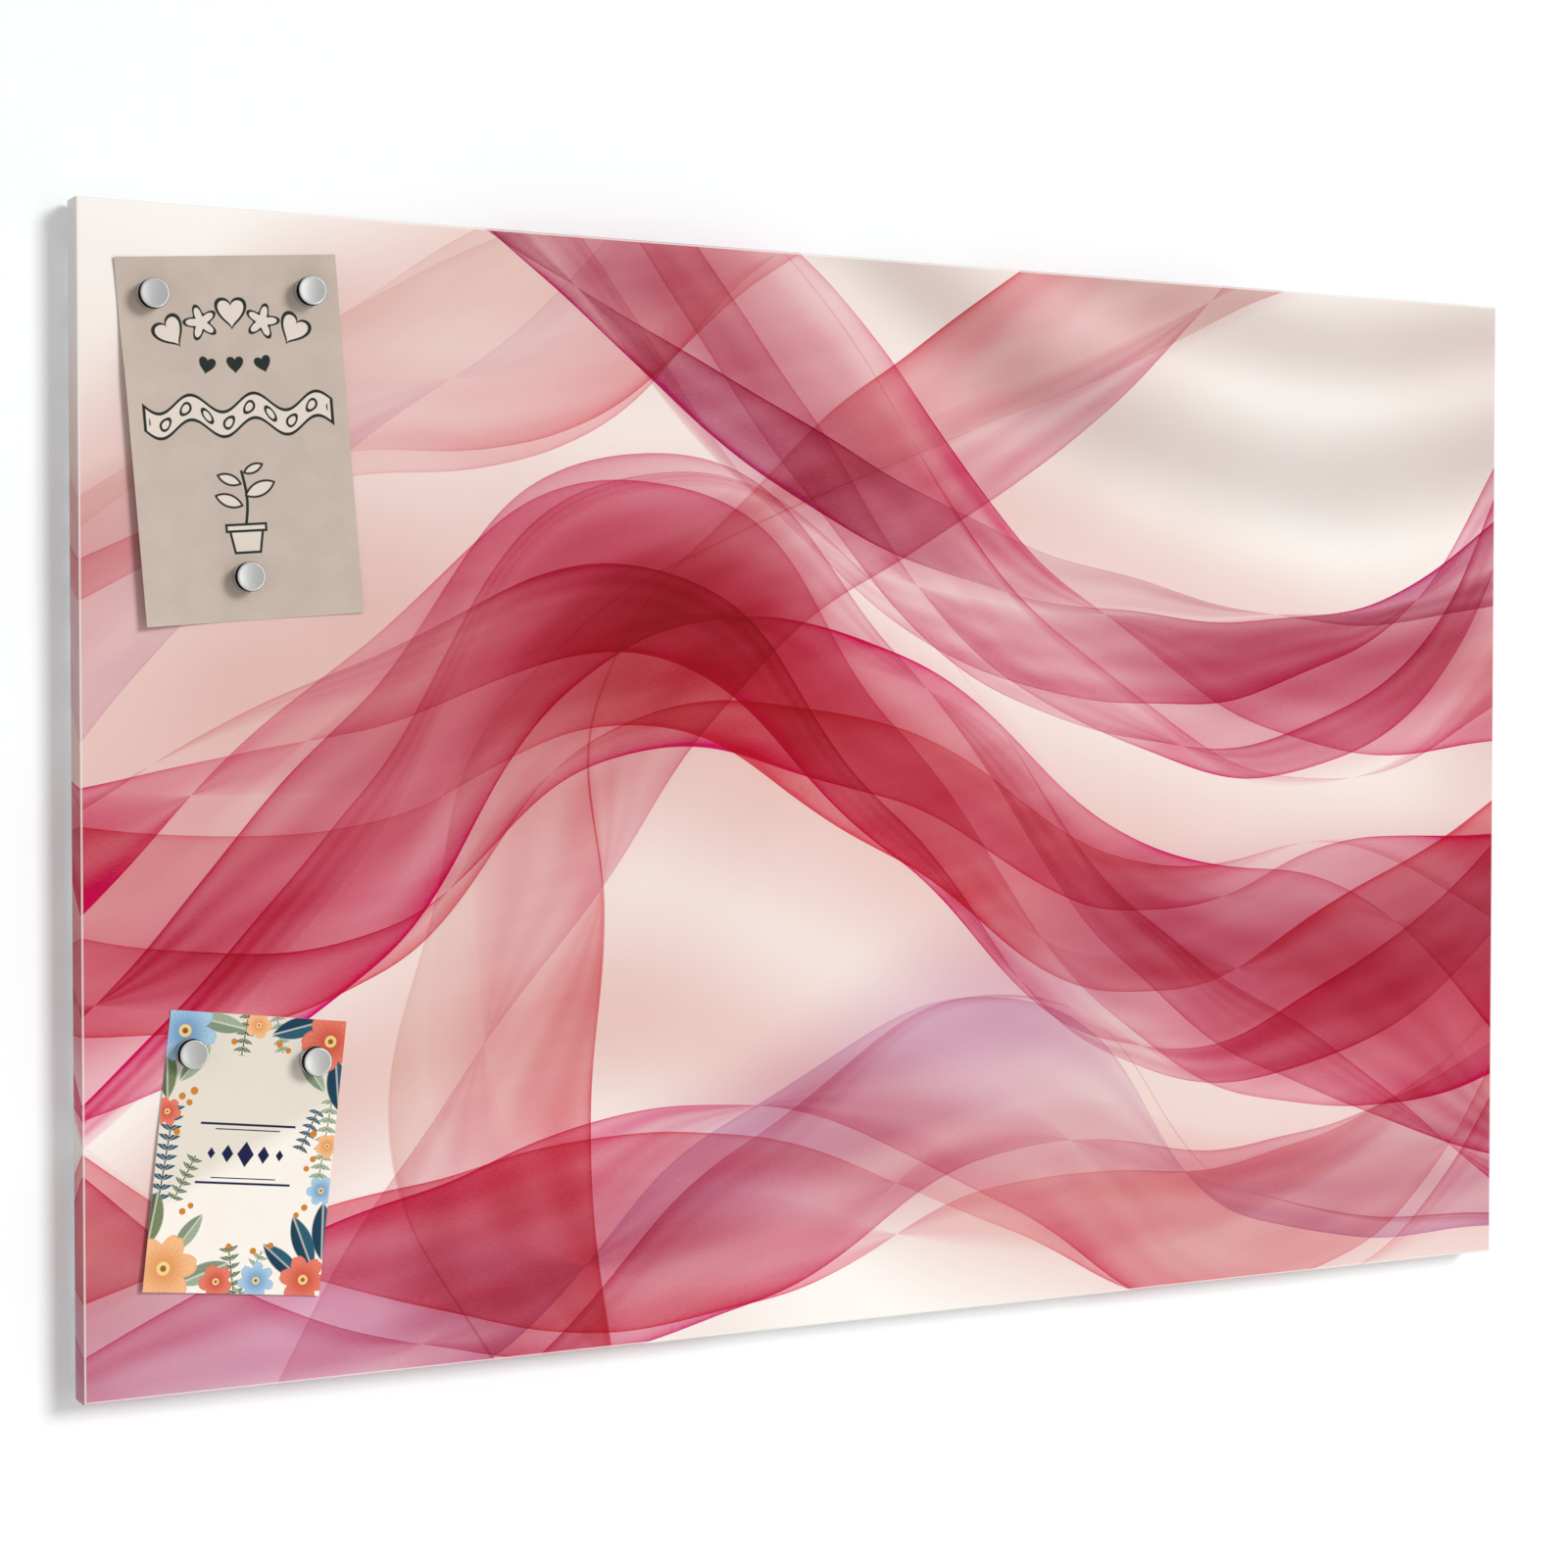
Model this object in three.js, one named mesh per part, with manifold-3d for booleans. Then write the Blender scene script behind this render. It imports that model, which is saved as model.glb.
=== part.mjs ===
// A printed magnetic memo board for a wall, with a note and a card held to its front by disc magnets.
// Sizes are in millimetres. Seen from the front, +X is right and +Z is up. +Y points back to the wall.
// The origin is on the wall, midway between the two screws that the board hangs on.
import * as THREE from "three";
import { mergeVertices } from "three/addons/utils/BufferGeometryUtils.js";
import Module from "manifold-3d";

const wasm = await Module();
wasm.setup();

// Board: a folded steel tray under a printed film that wraps round its sides
const BOARD_WIDTH = 900;
const BOARD_HEIGHT = 600;
const BOARD_DEPTH = 18; // printed front to the rear face of the lips
const FILM_THICKNESS = 0.3;
const SHEET_THICKNESS = 0.6;
const BEND_INSIDE_RADIUS = 0.3;
const LIP_WIDTH = 24; // from the board's outer edge
const MITRE_SLIT = 0.8; // open joint between two lips at a corner
const SEAT_GAP = 0.1; // between faces that are glued or rest together

// Stiffening rails: hat sections that are taped to the back of the front sheet
const RAIL_SPACING = 300;
const RAIL_CROWN = 32;
const RAIL_DRAFT = 4; // how far each wall leans out
const RAIL_FLANGE = 14;
const RAIL_SHEET = 0.8;
const RAIL_BACK_CLEARANCE = 3.5; // crown to the inside of the lips
const RAIL_END_CLEARANCE = 12;
const TAPE_THICKNESS = 1;
const TAPE_MARGIN = 2; // flange edge to tape edge

// Keyhole hangers: plates that are riveted to the inside of the top lip
const HANGER_INSET = 125; // board's side edge to the screw
const HANGER_NECK = 10; // lip edge down to the screw
const HANGER_THICKNESS = 1.5;
const HANGER_CORNER = 5;
const HANGER_MARGIN = 6; // plate below the keyhole
const HANGER_TOP_CLEARANCE = 2;
const KEYHOLE_SLOT = 5.2;
const KEYHOLE_ENTRY = 10.5;
const KEYHOLE_TRAVEL = 10; // middle of the entry up to the screw's seat
const RIVET_SPACING = 26;
const RIVET_EDGE = 9; // rivet to the plate's side
const RIVET_SHANK = 4;
const RIVET_CLEARANCE = 0.15;
const RIVET_HEAD = 8;
const RIVET_HEAD_HEIGHT = 1.2;
const RIVET_BULB = 6;
const RIVET_BULB_LENGTH = 3;

// Wall bumpers: rubber pads on the rear of the top and bottom lips
const BUMPER_HEIGHT = 3; // lips to the wall
const BUMPER_BASE = 16;
const BUMPER_FACE = 11;
const BUMPER_INSET = 44; // board's side edge to the pad

// Magnets: a turned body with a finger groove, and a disc pressed into its back
const MAGNET_DIAMETER = 15;
const MAGNET_THICKNESS = 9;
const MAGNET_CAP = 0.9; // disc in front of the groove
const MAGNET_GROOVE_WIDTH = 3.5;
const MAGNET_GROOVE_DEPTH = 0.9;
const MAGNET_CHAMFER = 0.4;
const MAGNET_WALL = 2.4; // round the disc
const MAGNET_FRONT_WALL = 5; // in front of the disc

// Note and card: thin sheets, placed by their middle, with their turn in degrees anticlockwise
const PAPER_THICKNESS = 0.3;
const PAPER_CELL = 8.5; // facets of the curl
const NOTE_WIDTH = 115;
const NOTE_HEIGHT = 184;
const NOTE_FROM_LEFT = 83;
const NOTE_FROM_TOP = 116;
const NOTE_TURN = 4.5;
const NOTE_CURL = 4; // lift of the freest corner
const NOTE_MAGNET_LEFT_INSET = 17;
const NOTE_MAGNET_RIGHT_INSET = 16.3;
const NOTE_MAGNET_TOP_INSET = 19;
const NOTE_MAGNET_BOTTOM_INSET = 22;
const NOTE_MAGNET_LOWER_OFFSET = -3; // lower magnet from the middle
const CARD_WIDTH = 93;
const CARD_HEIGHT = 142;
const CARD_FROM_LEFT = 83.3;
const CARD_FROM_BOTTOM = 120;
const CARD_TURN = -6.5;
const CARD_CURL = 3; // lift of the free lower edge
const CARD_MAGNET_LEFT_INSET = 12;
const CARD_MAGNET_RIGHT_INSET = 16;
const CARD_MAGNET_TOP_INSET = 21;

// Facets of round shapes
const BEND_FACETS = 4;
const TURNED_FACETS = 32;
const SMALL_FACETS = 24;
const CURVE_FACETS = 4;

const skin = FILM_THICKNESS + SEAT_GAP;
const bendRadius = BEND_INSIDE_RADIUS + SHEET_THICKNESS;
const trayWidth = BOARD_WIDTH - 2 * skin;
const trayHeight = BOARD_HEIGHT - 2 * skin;
const trayDepth = BOARD_DEPTH - skin;
const cavityDepth = trayDepth - 2 * SHEET_THICKNESS;
const sheetBack = SHEET_THICKNESS - trayDepth; // y of the front sheet's rear face, from the lips
const hangDrop = LIP_WIDTH + HANGER_NECK; // board's top edge down to the screws
const hangerX = BOARD_WIDTH / 2 - HANGER_INSET;
const rivetHeight = hangDrop - LIP_WIDTH / 2; // above the screws
const bumperX = BOARD_WIDTH / 2 - BUMPER_INSET;
const bumperZ = (BOARD_HEIGHT - LIP_WIDTH) / 2;

const galvanised = new THREE.MeshStandardMaterial({ color: 0xb9bdc0, roughness: 0.45, metalness: 0.8 });
const plated = new THREE.MeshStandardMaterial({ color: 0xcfd0cc, roughness: 0.3, metalness: 0.9 });
const alloy = new THREE.MeshStandardMaterial({ color: 0xd8d9da, roughness: 0.4, metalness: 0.9 });
const nickel = new THREE.MeshStandardMaterial({ color: 0xc9cacb, roughness: 0.25, metalness: 1 });
const magnetic = new THREE.MeshStandardMaterial({ color: 0x8f9194, roughness: 0.35, metalness: 0.9 });
const print = new THREE.MeshStandardMaterial({ color: 0xe8b3b0, roughness: 0.5, metalness: 0 });
const rubber = new THREE.MeshStandardMaterial({ color: 0x2b2b2c, roughness: 0.8, metalness: 0 });
const foam = new THREE.MeshStandardMaterial({ color: 0x4a4c4e, roughness: 0.9, metalness: 0 });
const notePaper = new THREE.MeshStandardMaterial({ color: 0xd9cfc0, roughness: 0.85, metalness: 0 });
const cardPaper = new THREE.MeshStandardMaterial({ color: 0xf1ebe0, roughness: 0.8, metalness: 0 });

// A geometry as a closed solid that can be cut.
function solidOf(geometry) {
  const bare = new THREE.BufferGeometry();
  bare.setAttribute("position", geometry.getAttribute("position"));
  bare.setIndex(geometry.index);
  const merged = mergeVertices(bare);
  const mesh = new wasm.Mesh({
    numProp: 3,
    vertProperties: merged.getAttribute("position").array,
    triVerts: new Uint32Array(merged.index.array),
  });
  return new wasm.Manifold(mesh);
}

// A cut solid as a flat-shaded geometry.
function geometryOf(solid) {
  const mesh = solid.getMesh();
  const shared = new THREE.BufferGeometry();
  shared.setAttribute("position", new THREE.BufferAttribute(mesh.vertProperties, 3));
  shared.setIndex(new THREE.BufferAttribute(mesh.triVerts, 1));
  const geometry = shared.toNonIndexed();
  geometry.computeVertexNormals();
  return geometry;
}

// One named piece in its group.
function addPiece(group, name, geometry, material, x = 0, y = 0, z = 0) {
  const piece = new THREE.Mesh(geometry, material);
  piece.name = name;
  piece.position.set(x, y, z);
  group.add(piece);
}

// A closed outline from corners of [x, y, radius].
function roundedOutline(corners) {
  const outline = new THREE.Shape();
  corners.forEach(([x, y, radius], i) => {
    const corner = new THREE.Vector2(x, y);
    const back = new THREE.Vector2(...corners.at(i - 1)).sub(corner).normalize();
    const on = new THREE.Vector2(...corners[(i + 1) % corners.length]).sub(corner).normalize();
    const reach = radius / Math.tan(Math.acos(back.dot(on)) / 2);
    const start = back.multiplyScalar(reach).add(corner);
    const end = on.multiplyScalar(reach).add(corner);
    if (i === 0) outline.moveTo(start.x, start.y);
    else outline.lineTo(start.x, start.y);
    outline.quadraticCurveTo(x, y, end.x, end.y);
  });
  outline.closePath();
  return outline;
}

// A rectangle about the origin.
function rectangle(width, height) {
  const outline = new THREE.Shape();
  outline.moveTo(-width / 2, -height / 2);
  outline.lineTo(width / 2, -height / 2);
  outline.lineTo(width / 2, height / 2);
  outline.lineTo(-width / 2, height / 2);
  outline.closePath();
  return outline;
}

// A flat box from y = -depth to y = 0, with its front and rear rims rounded like folded sheet.
function roundedSlab(width, height, depth, radius) {
  const slab = new THREE.ExtrudeGeometry(rectangle(width - 2 * radius, height - 2 * radius), {
    depth: depth - 2 * radius,
    bevelThickness: radius,
    bevelSize: radius,
    bevelSegments: BEND_FACETS,
  });
  return slab.translate(0, 0, radius).rotateX(Math.PI / 2);
}

// A turned piece from a profile of [radius, y] that starts and ends on the axis.
function turned(profile, facets) {
  return new THREE.LatheGeometry(
    profile.map(([radius, y]) => new THREE.Vector2(radius, y)),
    facets,
  );
}

// The tray: front sheet, four sides and four return lips, folded from one blank with mitred corners.
function steelTray() {
  const inner = roundedSlab(
    trayWidth - 2 * SHEET_THICKNESS,
    trayHeight - 2 * SHEET_THICKNESS,
    cavityDepth,
    BEND_INSIDE_RADIUS,
  );
  const opening = new THREE.BoxGeometry(
    BOARD_WIDTH - 2 * LIP_WIDTH,
    3 * SHEET_THICKNESS,
    BOARD_HEIGHT - 2 * LIP_WIDTH,
  );
  let tray = solidOf(roundedSlab(trayWidth, trayHeight, trayDepth, bendRadius))
    .subtract(solidOf(inner.translate(0, -SHEET_THICKNESS, 0)))
    .subtract(solidOf(opening));
  const lipInside = LIP_WIDTH - skin - bendRadius;
  const lipMiddle = (LIP_WIDTH + skin + bendRadius) / 2;
  for (const sideX of [-1, 1]) {
    for (const sideZ of [-1, 1]) {
      const slit = new THREE.BoxGeometry(MITRE_SLIT, 3 * SHEET_THICKNESS, lipInside * Math.SQRT2);
      slit.rotateY((sideX * sideZ * Math.PI) / 4);
      slit.translate(
        sideX * (BOARD_WIDTH / 2 - lipMiddle),
        0,
        sideZ * (BOARD_HEIGHT / 2 - lipMiddle),
      );
      tray = tray.subtract(solidOf(slit));
    }
    for (const sideRivet of [-1, 1]) {
      const radius = RIVET_SHANK / 2 + RIVET_CLEARANCE;
      const hole = new THREE.CylinderGeometry(radius, radius, 4 * SHEET_THICKNESS, SMALL_FACETS);
      const x = sideX * hangerX + (sideRivet * RIVET_SPACING) / 2;
      tray = tray.subtract(solidOf(hole.translate(x, 0, bumperZ)));
    }
  }
  return geometryOf(tray);
}

// The film: one skin over the front and the sides, trimmed where the steel folds to the lips.
function printedFilm() {
  const trim = 2 * (bendRadius + skin);
  const inside = roundedSlab(
    BOARD_WIDTH - 2 * FILM_THICKNESS,
    BOARD_HEIGHT - 2 * FILM_THICKNESS,
    BOARD_DEPTH - FILM_THICKNESS,
    bendRadius + SEAT_GAP,
  );
  const rear = new THREE.BoxGeometry(2 * BOARD_WIDTH, trim, 2 * BOARD_HEIGHT);
  const film = solidOf(roundedSlab(BOARD_WIDTH, BOARD_HEIGHT, BOARD_DEPTH, bendRadius + skin))
    .subtract(solidOf(inside))
    .subtract(solidOf(rear));
  return geometryOf(film);
}

// A hat-section rail, standing along Z, with its flanges' front faces at y = 0.
function hatRail(height, length) {
  const crown = RAIL_CROWN / 2;
  const foot = crown + RAIL_DRAFT;
  const tip = foot + RAIL_FLANGE;
  const rise = height - RAIL_SHEET;
  const lean = Math.atan2(RAIL_DRAFT, rise);
  const wall = RAIL_SHEET / Math.cos(lean) - (RAIL_DRAFT * RAIL_SHEET) / rise;
  const inside = BEND_INSIDE_RADIUS;
  const outside = inside + RAIL_SHEET;
  const edge = RAIL_SHEET / 8;
  const right = [
    [foot, RAIL_SHEET, inside],
    [crown, height, outside],
  ];
  const under = [
    [crown - wall, rise, inside],
    [foot - wall, 0, outside],
  ];
  const mirrored = (corners) => corners.map(([x, y, radius]) => [-x, y, radius]).reverse();
  const outline = roundedOutline([
    [tip, 0, edge],
    [tip, RAIL_SHEET, edge],
    ...right,
    ...mirrored(right),
    [-tip, RAIL_SHEET, edge],
    [-tip, 0, edge],
    ...mirrored(under),
    ...under,
  ]);
  const rail = new THREE.ExtrudeGeometry(outline, {
    depth: length,
    bevelEnabled: false,
    curveSegments: CURVE_FACETS,
  });
  return rail.translate(0, 0, -length / 2);
}

// A hanger plate about its screw: two rivet holes at the top, and a keyhole that narrows upwards.
function hangerPlate() {
  const side = RIVET_SPACING / 2 + RIVET_EDGE;
  const top = hangDrop - skin - bendRadius - HANGER_TOP_CLEARANCE;
  const bottom = -(KEYHOLE_TRAVEL + KEYHOLE_ENTRY / 2 + HANGER_MARGIN);
  const plate = roundedOutline([
    [-side, bottom, HANGER_CORNER],
    [side, bottom, HANGER_CORNER],
    [side, top, HANGER_CORNER],
    [-side, top, HANGER_CORNER],
  ]);
  const slot = KEYHOLE_SLOT / 2;
  const entry = KEYHOLE_ENTRY / 2;
  const opening = Math.asin(slot / entry);
  const keyhole = new THREE.Path();
  keyhole.moveTo(slot, entry * Math.cos(opening) - KEYHOLE_TRAVEL);
  keyhole.lineTo(slot, 0);
  keyhole.absarc(0, 0, slot, 0, Math.PI, false);
  keyhole.absarc(0, -KEYHOLE_TRAVEL, entry, Math.PI / 2 + opening, 2.5 * Math.PI - opening, false);
  plate.holes.push(keyhole);
  for (const sideRivet of [-1, 1]) {
    const hole = new THREE.Path();
    const radius = RIVET_SHANK / 2 + RIVET_CLEARANCE;
    hole.absarc((sideRivet * RIVET_SPACING) / 2, rivetHeight, radius, 0, 2 * Math.PI, false);
    plate.holes.push(hole);
  }
  const geometry = new THREE.ExtrudeGeometry(plate, {
    depth: HANGER_THICKNESS,
    bevelEnabled: false,
    curveSegments: 2 * CURVE_FACETS,
  });
  return geometry.rotateX(Math.PI / 2);
}

// A blind rivet along Y: its set bulb in front of the plate, and its domed head behind the lip.
function rivet() {
  const front = -(SHEET_THICKNESS + HANGER_THICKNESS + 2 * SEAT_GAP);
  const shank = RIVET_SHANK / 2;
  const bulb = RIVET_BULB / 2;
  const dome = [];
  for (let i = 1; i <= CURVE_FACETS; i += 1) {
    const angle = (i / CURVE_FACETS) * (Math.PI / 2);
    const radius = i === CURVE_FACETS ? 0 : (RIVET_HEAD / 2) * Math.cos(angle);
    dome.push([radius, SEAT_GAP + RIVET_HEAD_HEIGHT * (0.25 + 0.75 * Math.sin(angle))]);
  }
  return turned(
    [
      [0, front - RIVET_BULB_LENGTH],
      [0.6 * bulb, front - RIVET_BULB_LENGTH],
      [bulb, front - 0.6 * RIVET_BULB_LENGTH],
      [bulb, front],
      [shank, front],
      [shank, SEAT_GAP],
      [RIVET_HEAD / 2, SEAT_GAP],
      [RIVET_HEAD / 2, SEAT_GAP + RIVET_HEAD_HEIGHT / 4],
      ...dome,
    ],
    SMALL_FACETS,
  );
}

// A wall bumper along Y: a straight foot, then a rounded shoulder up to its flat face.
function bumper() {
  const foot = SEAT_GAP + BUMPER_HEIGHT / 4;
  const step = (BUMPER_BASE - BUMPER_FACE) / 2;
  const shoulder = [];
  for (let i = 0; i <= CURVE_FACETS; i += 1) {
    const angle = (i / CURVE_FACETS) * (Math.PI / 2);
    const radius = BUMPER_FACE / 2 + step * Math.cos(angle);
    shoulder.push([radius, foot + (BUMPER_HEIGHT - foot) * Math.sin(angle)]);
  }
  return turned(
    [[0, SEAT_GAP], [BUMPER_BASE / 2, SEAT_GAP], ...shoulder, [0, BUMPER_HEIGHT]],
    TURNED_FACETS,
  );
}

// A magnet's turned body along Y, from its chamfered front to its rear face at y = 0.
function magnetBody() {
  const radius = MAGNET_DIAMETER / 2;
  const pocket = radius - MAGNET_WALL;
  const floor = MAGNET_FRONT_WALL - MAGNET_THICKNESS;
  const grooveFront = MAGNET_CAP - MAGNET_THICKNESS;
  const grooveRear = grooveFront + MAGNET_GROOVE_WIDTH;
  return turned(
    [
      [0, -MAGNET_THICKNESS],
      [radius - MAGNET_CHAMFER, -MAGNET_THICKNESS],
      [radius, MAGNET_CHAMFER - MAGNET_THICKNESS],
      [radius, grooveFront],
      [radius - MAGNET_GROOVE_DEPTH, grooveFront],
      [radius - MAGNET_GROOVE_DEPTH, grooveRear],
      [radius, grooveRear],
      [radius, -MAGNET_CHAMFER],
      [radius - MAGNET_CHAMFER, 0],
      [pocket, 0],
      [pocket, floor],
      [0, floor],
    ],
    TURNED_FACETS,
  );
}

// The magnetic disc that fills a body's pocket, flush with its rear face.
function magnetCore() {
  const radius = MAGNET_DIAMETER / 2 - MAGNET_WALL - SEAT_GAP;
  const thickness = MAGNET_THICKNESS - MAGNET_FRONT_WALL - SEAT_GAP;
  return new THREE.CylinderGeometry(radius, radius, thickness, TURNED_FACETS).translate(0, -thickness / 2, 0);
}

// A sheet that lies flat between its magnets and bends away in front of the board beyond them.
// Each bend follows the line from one magnet to the next, and lifts what lies to the left of that line.
function curledSheet(width, height, bends) {
  const sheet = new THREE.BoxGeometry(
    width,
    PAPER_THICKNESS,
    height,
    Math.ceil(width / PAPER_CELL),
    1,
    Math.ceil(height / PAPER_CELL),
  );
  sheet.translate(0, -PAPER_THICKNESS / 2, 0);
  const flat = MAGNET_DIAMETER / 2 + 1.5 * PAPER_CELL;
  const beyond = ([from, to], x, z) => {
    const along = new THREE.Vector2(to[0] - from[0], to[1] - from[1]).normalize();
    return Math.max(0, along.x * (z - from[1]) - along.y * (x - from[0]) - flat);
  };
  const cornersBeyond = (line) =>
    [-1, 1].flatMap((a) => [-1, 1].map((b) => beyond(line, (a * width) / 2, (b * height) / 2)));
  const points = sheet.getAttribute("position");
  for (const { line, lift } of bends) {
    const furthest = Math.max(...cornersBeyond(line));
    if (furthest === 0) continue;
    for (let i = 0; i < points.count; i += 1) {
      const share = beyond(line, points.getX(i), points.getZ(i)) / furthest;
      points.setY(i, points.getY(i) - lift * share * share);
    }
  }
  sheet.computeVertexNormals();
  return sheet;
}

// A sheet and its magnets in one group on the board's front.
function heldSheet(board, name, paper, geometry, magnets, x, z, turn) {
  const held = new THREE.Group();
  held.position.set(x, -BOARD_DEPTH - SEAT_GAP, z);
  held.rotation.y = -THREE.MathUtils.degToRad(turn);
  board.add(held);
  addPiece(held, `${name}_sheet`, geometry, paper);
  const y = -PAPER_THICKNESS - SEAT_GAP;
  for (const [place, [magnetX, magnetZ]] of Object.entries(magnets)) {
    addPiece(held, `${name}_magnet_${place}_body`, magnetBody(), nickel, magnetX, y, magnetZ);
    addPiece(held, `${name}_magnet_${place}_core`, magnetCore(), magnetic, magnetX, y, magnetZ);
  }
}

// The board, with y = 0 at the rear face of its lips and x = z = 0 at its middle
const part = new THREE.Group();
part.name = "magnetic_board";
const board = new THREE.Group();
board.position.set(0, -BUMPER_HEIGHT, hangDrop - BOARD_HEIGHT / 2);
part.add(board);

addPiece(board, "printed_film", printedFilm(), print);
addPiece(board, "steel_tray", steelTray(), galvanised);

const railFront = sheetBack + TAPE_THICKNESS + 2 * SEAT_GAP;
const railHeight = cavityDepth - TAPE_THICKNESS - 2 * SEAT_GAP - RAIL_BACK_CLEARANCE;
const railLength = trayHeight - 2 * SHEET_THICKNESS - 2 * RAIL_END_CLEARANCE;
const tapeX = RAIL_CROWN / 2 + RAIL_DRAFT + RAIL_FLANGE / 2;
const tapeY = sheetBack + SEAT_GAP + TAPE_THICKNESS / 2;
const sides = { left: -1, right: 1 };
for (const [side, signX] of Object.entries(sides)) {
  const railX = (signX * RAIL_SPACING) / 2;
  addPiece(board, `stiffener_${side}`, hatRail(railHeight, railLength), galvanised, railX, railFront);
  for (const [edge, signTape] of Object.entries({ outer: signX, inner: -signX })) {
    const strip = new THREE.BoxGeometry(
      RAIL_FLANGE - 2 * TAPE_MARGIN,
      TAPE_THICKNESS,
      railLength - 2 * TAPE_MARGIN,
    );
    addPiece(board, `tape_${side}_${edge}`, strip, foam, railX + signTape * tapeX, tapeY);
  }
  const screwX = signX * hangerX;
  const screwZ = BOARD_HEIGHT / 2 - hangDrop;
  addPiece(board, `hanger_${side}`, hangerPlate(), plated, screwX, -SHEET_THICKNESS - SEAT_GAP, screwZ);
  for (const [edge, signRivet] of Object.entries({ outer: signX, inner: -signX })) {
    const rivetX = screwX + (signRivet * RIVET_SPACING) / 2;
    addPiece(board, `rivet_${side}_${edge}`, rivet(), alloy, rivetX, 0, screwZ + rivetHeight);
  }
  addPiece(board, `bumper_top_${side}`, bumper(), rubber, signX * bumperX, 0, bumperZ);
  addPiece(board, `bumper_bottom_${side}`, bumper(), rubber, signX * bumperX, 0, -bumperZ);
}

// The note, held at its top corners and near the middle of its lower edge
const noteTop = NOTE_HEIGHT / 2 - NOTE_MAGNET_TOP_INSET;
const noteMagnets = {
  left: [NOTE_MAGNET_LEFT_INSET - NOTE_WIDTH / 2, noteTop],
  right: [NOTE_WIDTH / 2 - NOTE_MAGNET_RIGHT_INSET, noteTop],
  lower: [NOTE_MAGNET_LOWER_OFFSET, NOTE_MAGNET_BOTTOM_INSET - NOTE_HEIGHT / 2],
};
const note = curledSheet(NOTE_WIDTH, NOTE_HEIGHT, [
  { line: [noteMagnets.lower, noteMagnets.left], lift: NOTE_CURL },
  { line: [noteMagnets.right, noteMagnets.lower], lift: NOTE_CURL / 4 },
]);
heldSheet(
  board,
  "note",
  notePaper,
  note,
  noteMagnets,
  NOTE_FROM_LEFT - BOARD_WIDTH / 2,
  BOARD_HEIGHT / 2 - NOTE_FROM_TOP,
  NOTE_TURN,
);

// The card, held at its top corners, so that its lower edge stands off
const cardTop = CARD_HEIGHT / 2 - CARD_MAGNET_TOP_INSET;
const cardMagnets = {
  left: [CARD_MAGNET_LEFT_INSET - CARD_WIDTH / 2, cardTop],
  right: [CARD_WIDTH / 2 - CARD_MAGNET_RIGHT_INSET, cardTop],
};
const card = curledSheet(CARD_WIDTH, CARD_HEIGHT, [
  { line: [cardMagnets.right, cardMagnets.left], lift: CARD_CURL },
]);
heldSheet(
  board,
  "card",
  cardPaper,
  card,
  cardMagnets,
  CARD_FROM_LEFT - BOARD_WIDTH / 2,
  CARD_FROM_BOTTOM - BOARD_HEIGHT / 2,
  CARD_TURN,
);

export default part;
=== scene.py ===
"""The looks of a magnetic board on a wall, with a note and a card held on it by five magnets."""
from math import cos, pi, radians, sin, tan

import bpy
from mathutils import Matrix, Vector


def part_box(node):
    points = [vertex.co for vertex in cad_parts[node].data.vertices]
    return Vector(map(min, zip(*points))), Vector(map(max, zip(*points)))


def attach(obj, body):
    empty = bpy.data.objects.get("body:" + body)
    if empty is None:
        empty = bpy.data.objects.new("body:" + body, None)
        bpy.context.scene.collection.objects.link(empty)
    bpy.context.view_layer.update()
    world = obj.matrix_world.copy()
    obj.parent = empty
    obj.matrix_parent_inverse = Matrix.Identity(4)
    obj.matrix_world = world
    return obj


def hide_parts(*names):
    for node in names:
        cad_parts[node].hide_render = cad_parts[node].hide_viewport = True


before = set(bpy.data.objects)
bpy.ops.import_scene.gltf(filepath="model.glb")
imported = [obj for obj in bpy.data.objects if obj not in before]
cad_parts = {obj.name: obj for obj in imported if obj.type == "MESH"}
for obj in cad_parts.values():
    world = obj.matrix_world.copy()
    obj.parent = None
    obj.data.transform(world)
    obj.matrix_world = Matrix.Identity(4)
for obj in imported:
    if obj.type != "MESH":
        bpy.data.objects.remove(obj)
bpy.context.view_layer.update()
scene = bpy.context.scene

# Sizes in millimetres, most of them those of the solids
MM = 0.001
BOARD_WIDTH = 900
BOARD_HEIGHT = 600
BOARD_LEFT = -450
BOARD_BOTTOM = -566
FRONT_Y = -21
LIP_Y = -3
SEAT_GAP = 0.1
PAPER_THICKNESS = 0.3
PAPER_CELL = 3
MAGNET_RADIUS = 7.5
MAGNET_THICKNESS = 9
MAGNET_CAP = 0.9
MAGNET_GROOVE_WIDTH = 3.5
MAGNET_GROOVE_DEPTH = 0.9
MAGNET_FOOT_EDGE = 0.4
MAGNET_RIM_EDGE = 0.8
MAGNET_DISH = 0.35
MAGNET_POCKET = 5.1
MAGNET_FRONT_WALL = 5
RIVET_RADIUS = 2
RIVET_BULB_Y = -2.3
RIVET_BULB_RADIUS = 3
RIVET_BULB_LENGTH = 3
RIVET_BULB_BEVEL = 1.2
RIVET_HEAD_RADIUS = 4
RIVET_HEAD_EDGE = 0.4
RIVET_HEAD_DOME = 0.9
PAD_RADIUS = 8
PAD_FLAT_RADIUS = 5.5
PAD_EDGE = 0.85
PAD_THICKNESS = 3
NOTE_SIZE = (115, 184)
CARD_SIZE = (93, 142)
PRESSED_MARGIN = 2.5
FREE_REACH = 40

# Steps and angles of the meshes
TURNED_SEGMENTS = 96
TURNED_SHARP = radians(28)
# Outer steps of a magnet's rim that take the near-black finish, a painted dark reflection
MAGNET_SHADED_RIM_STEPS = 4
PAPER_SHARP = radians(40)


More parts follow.
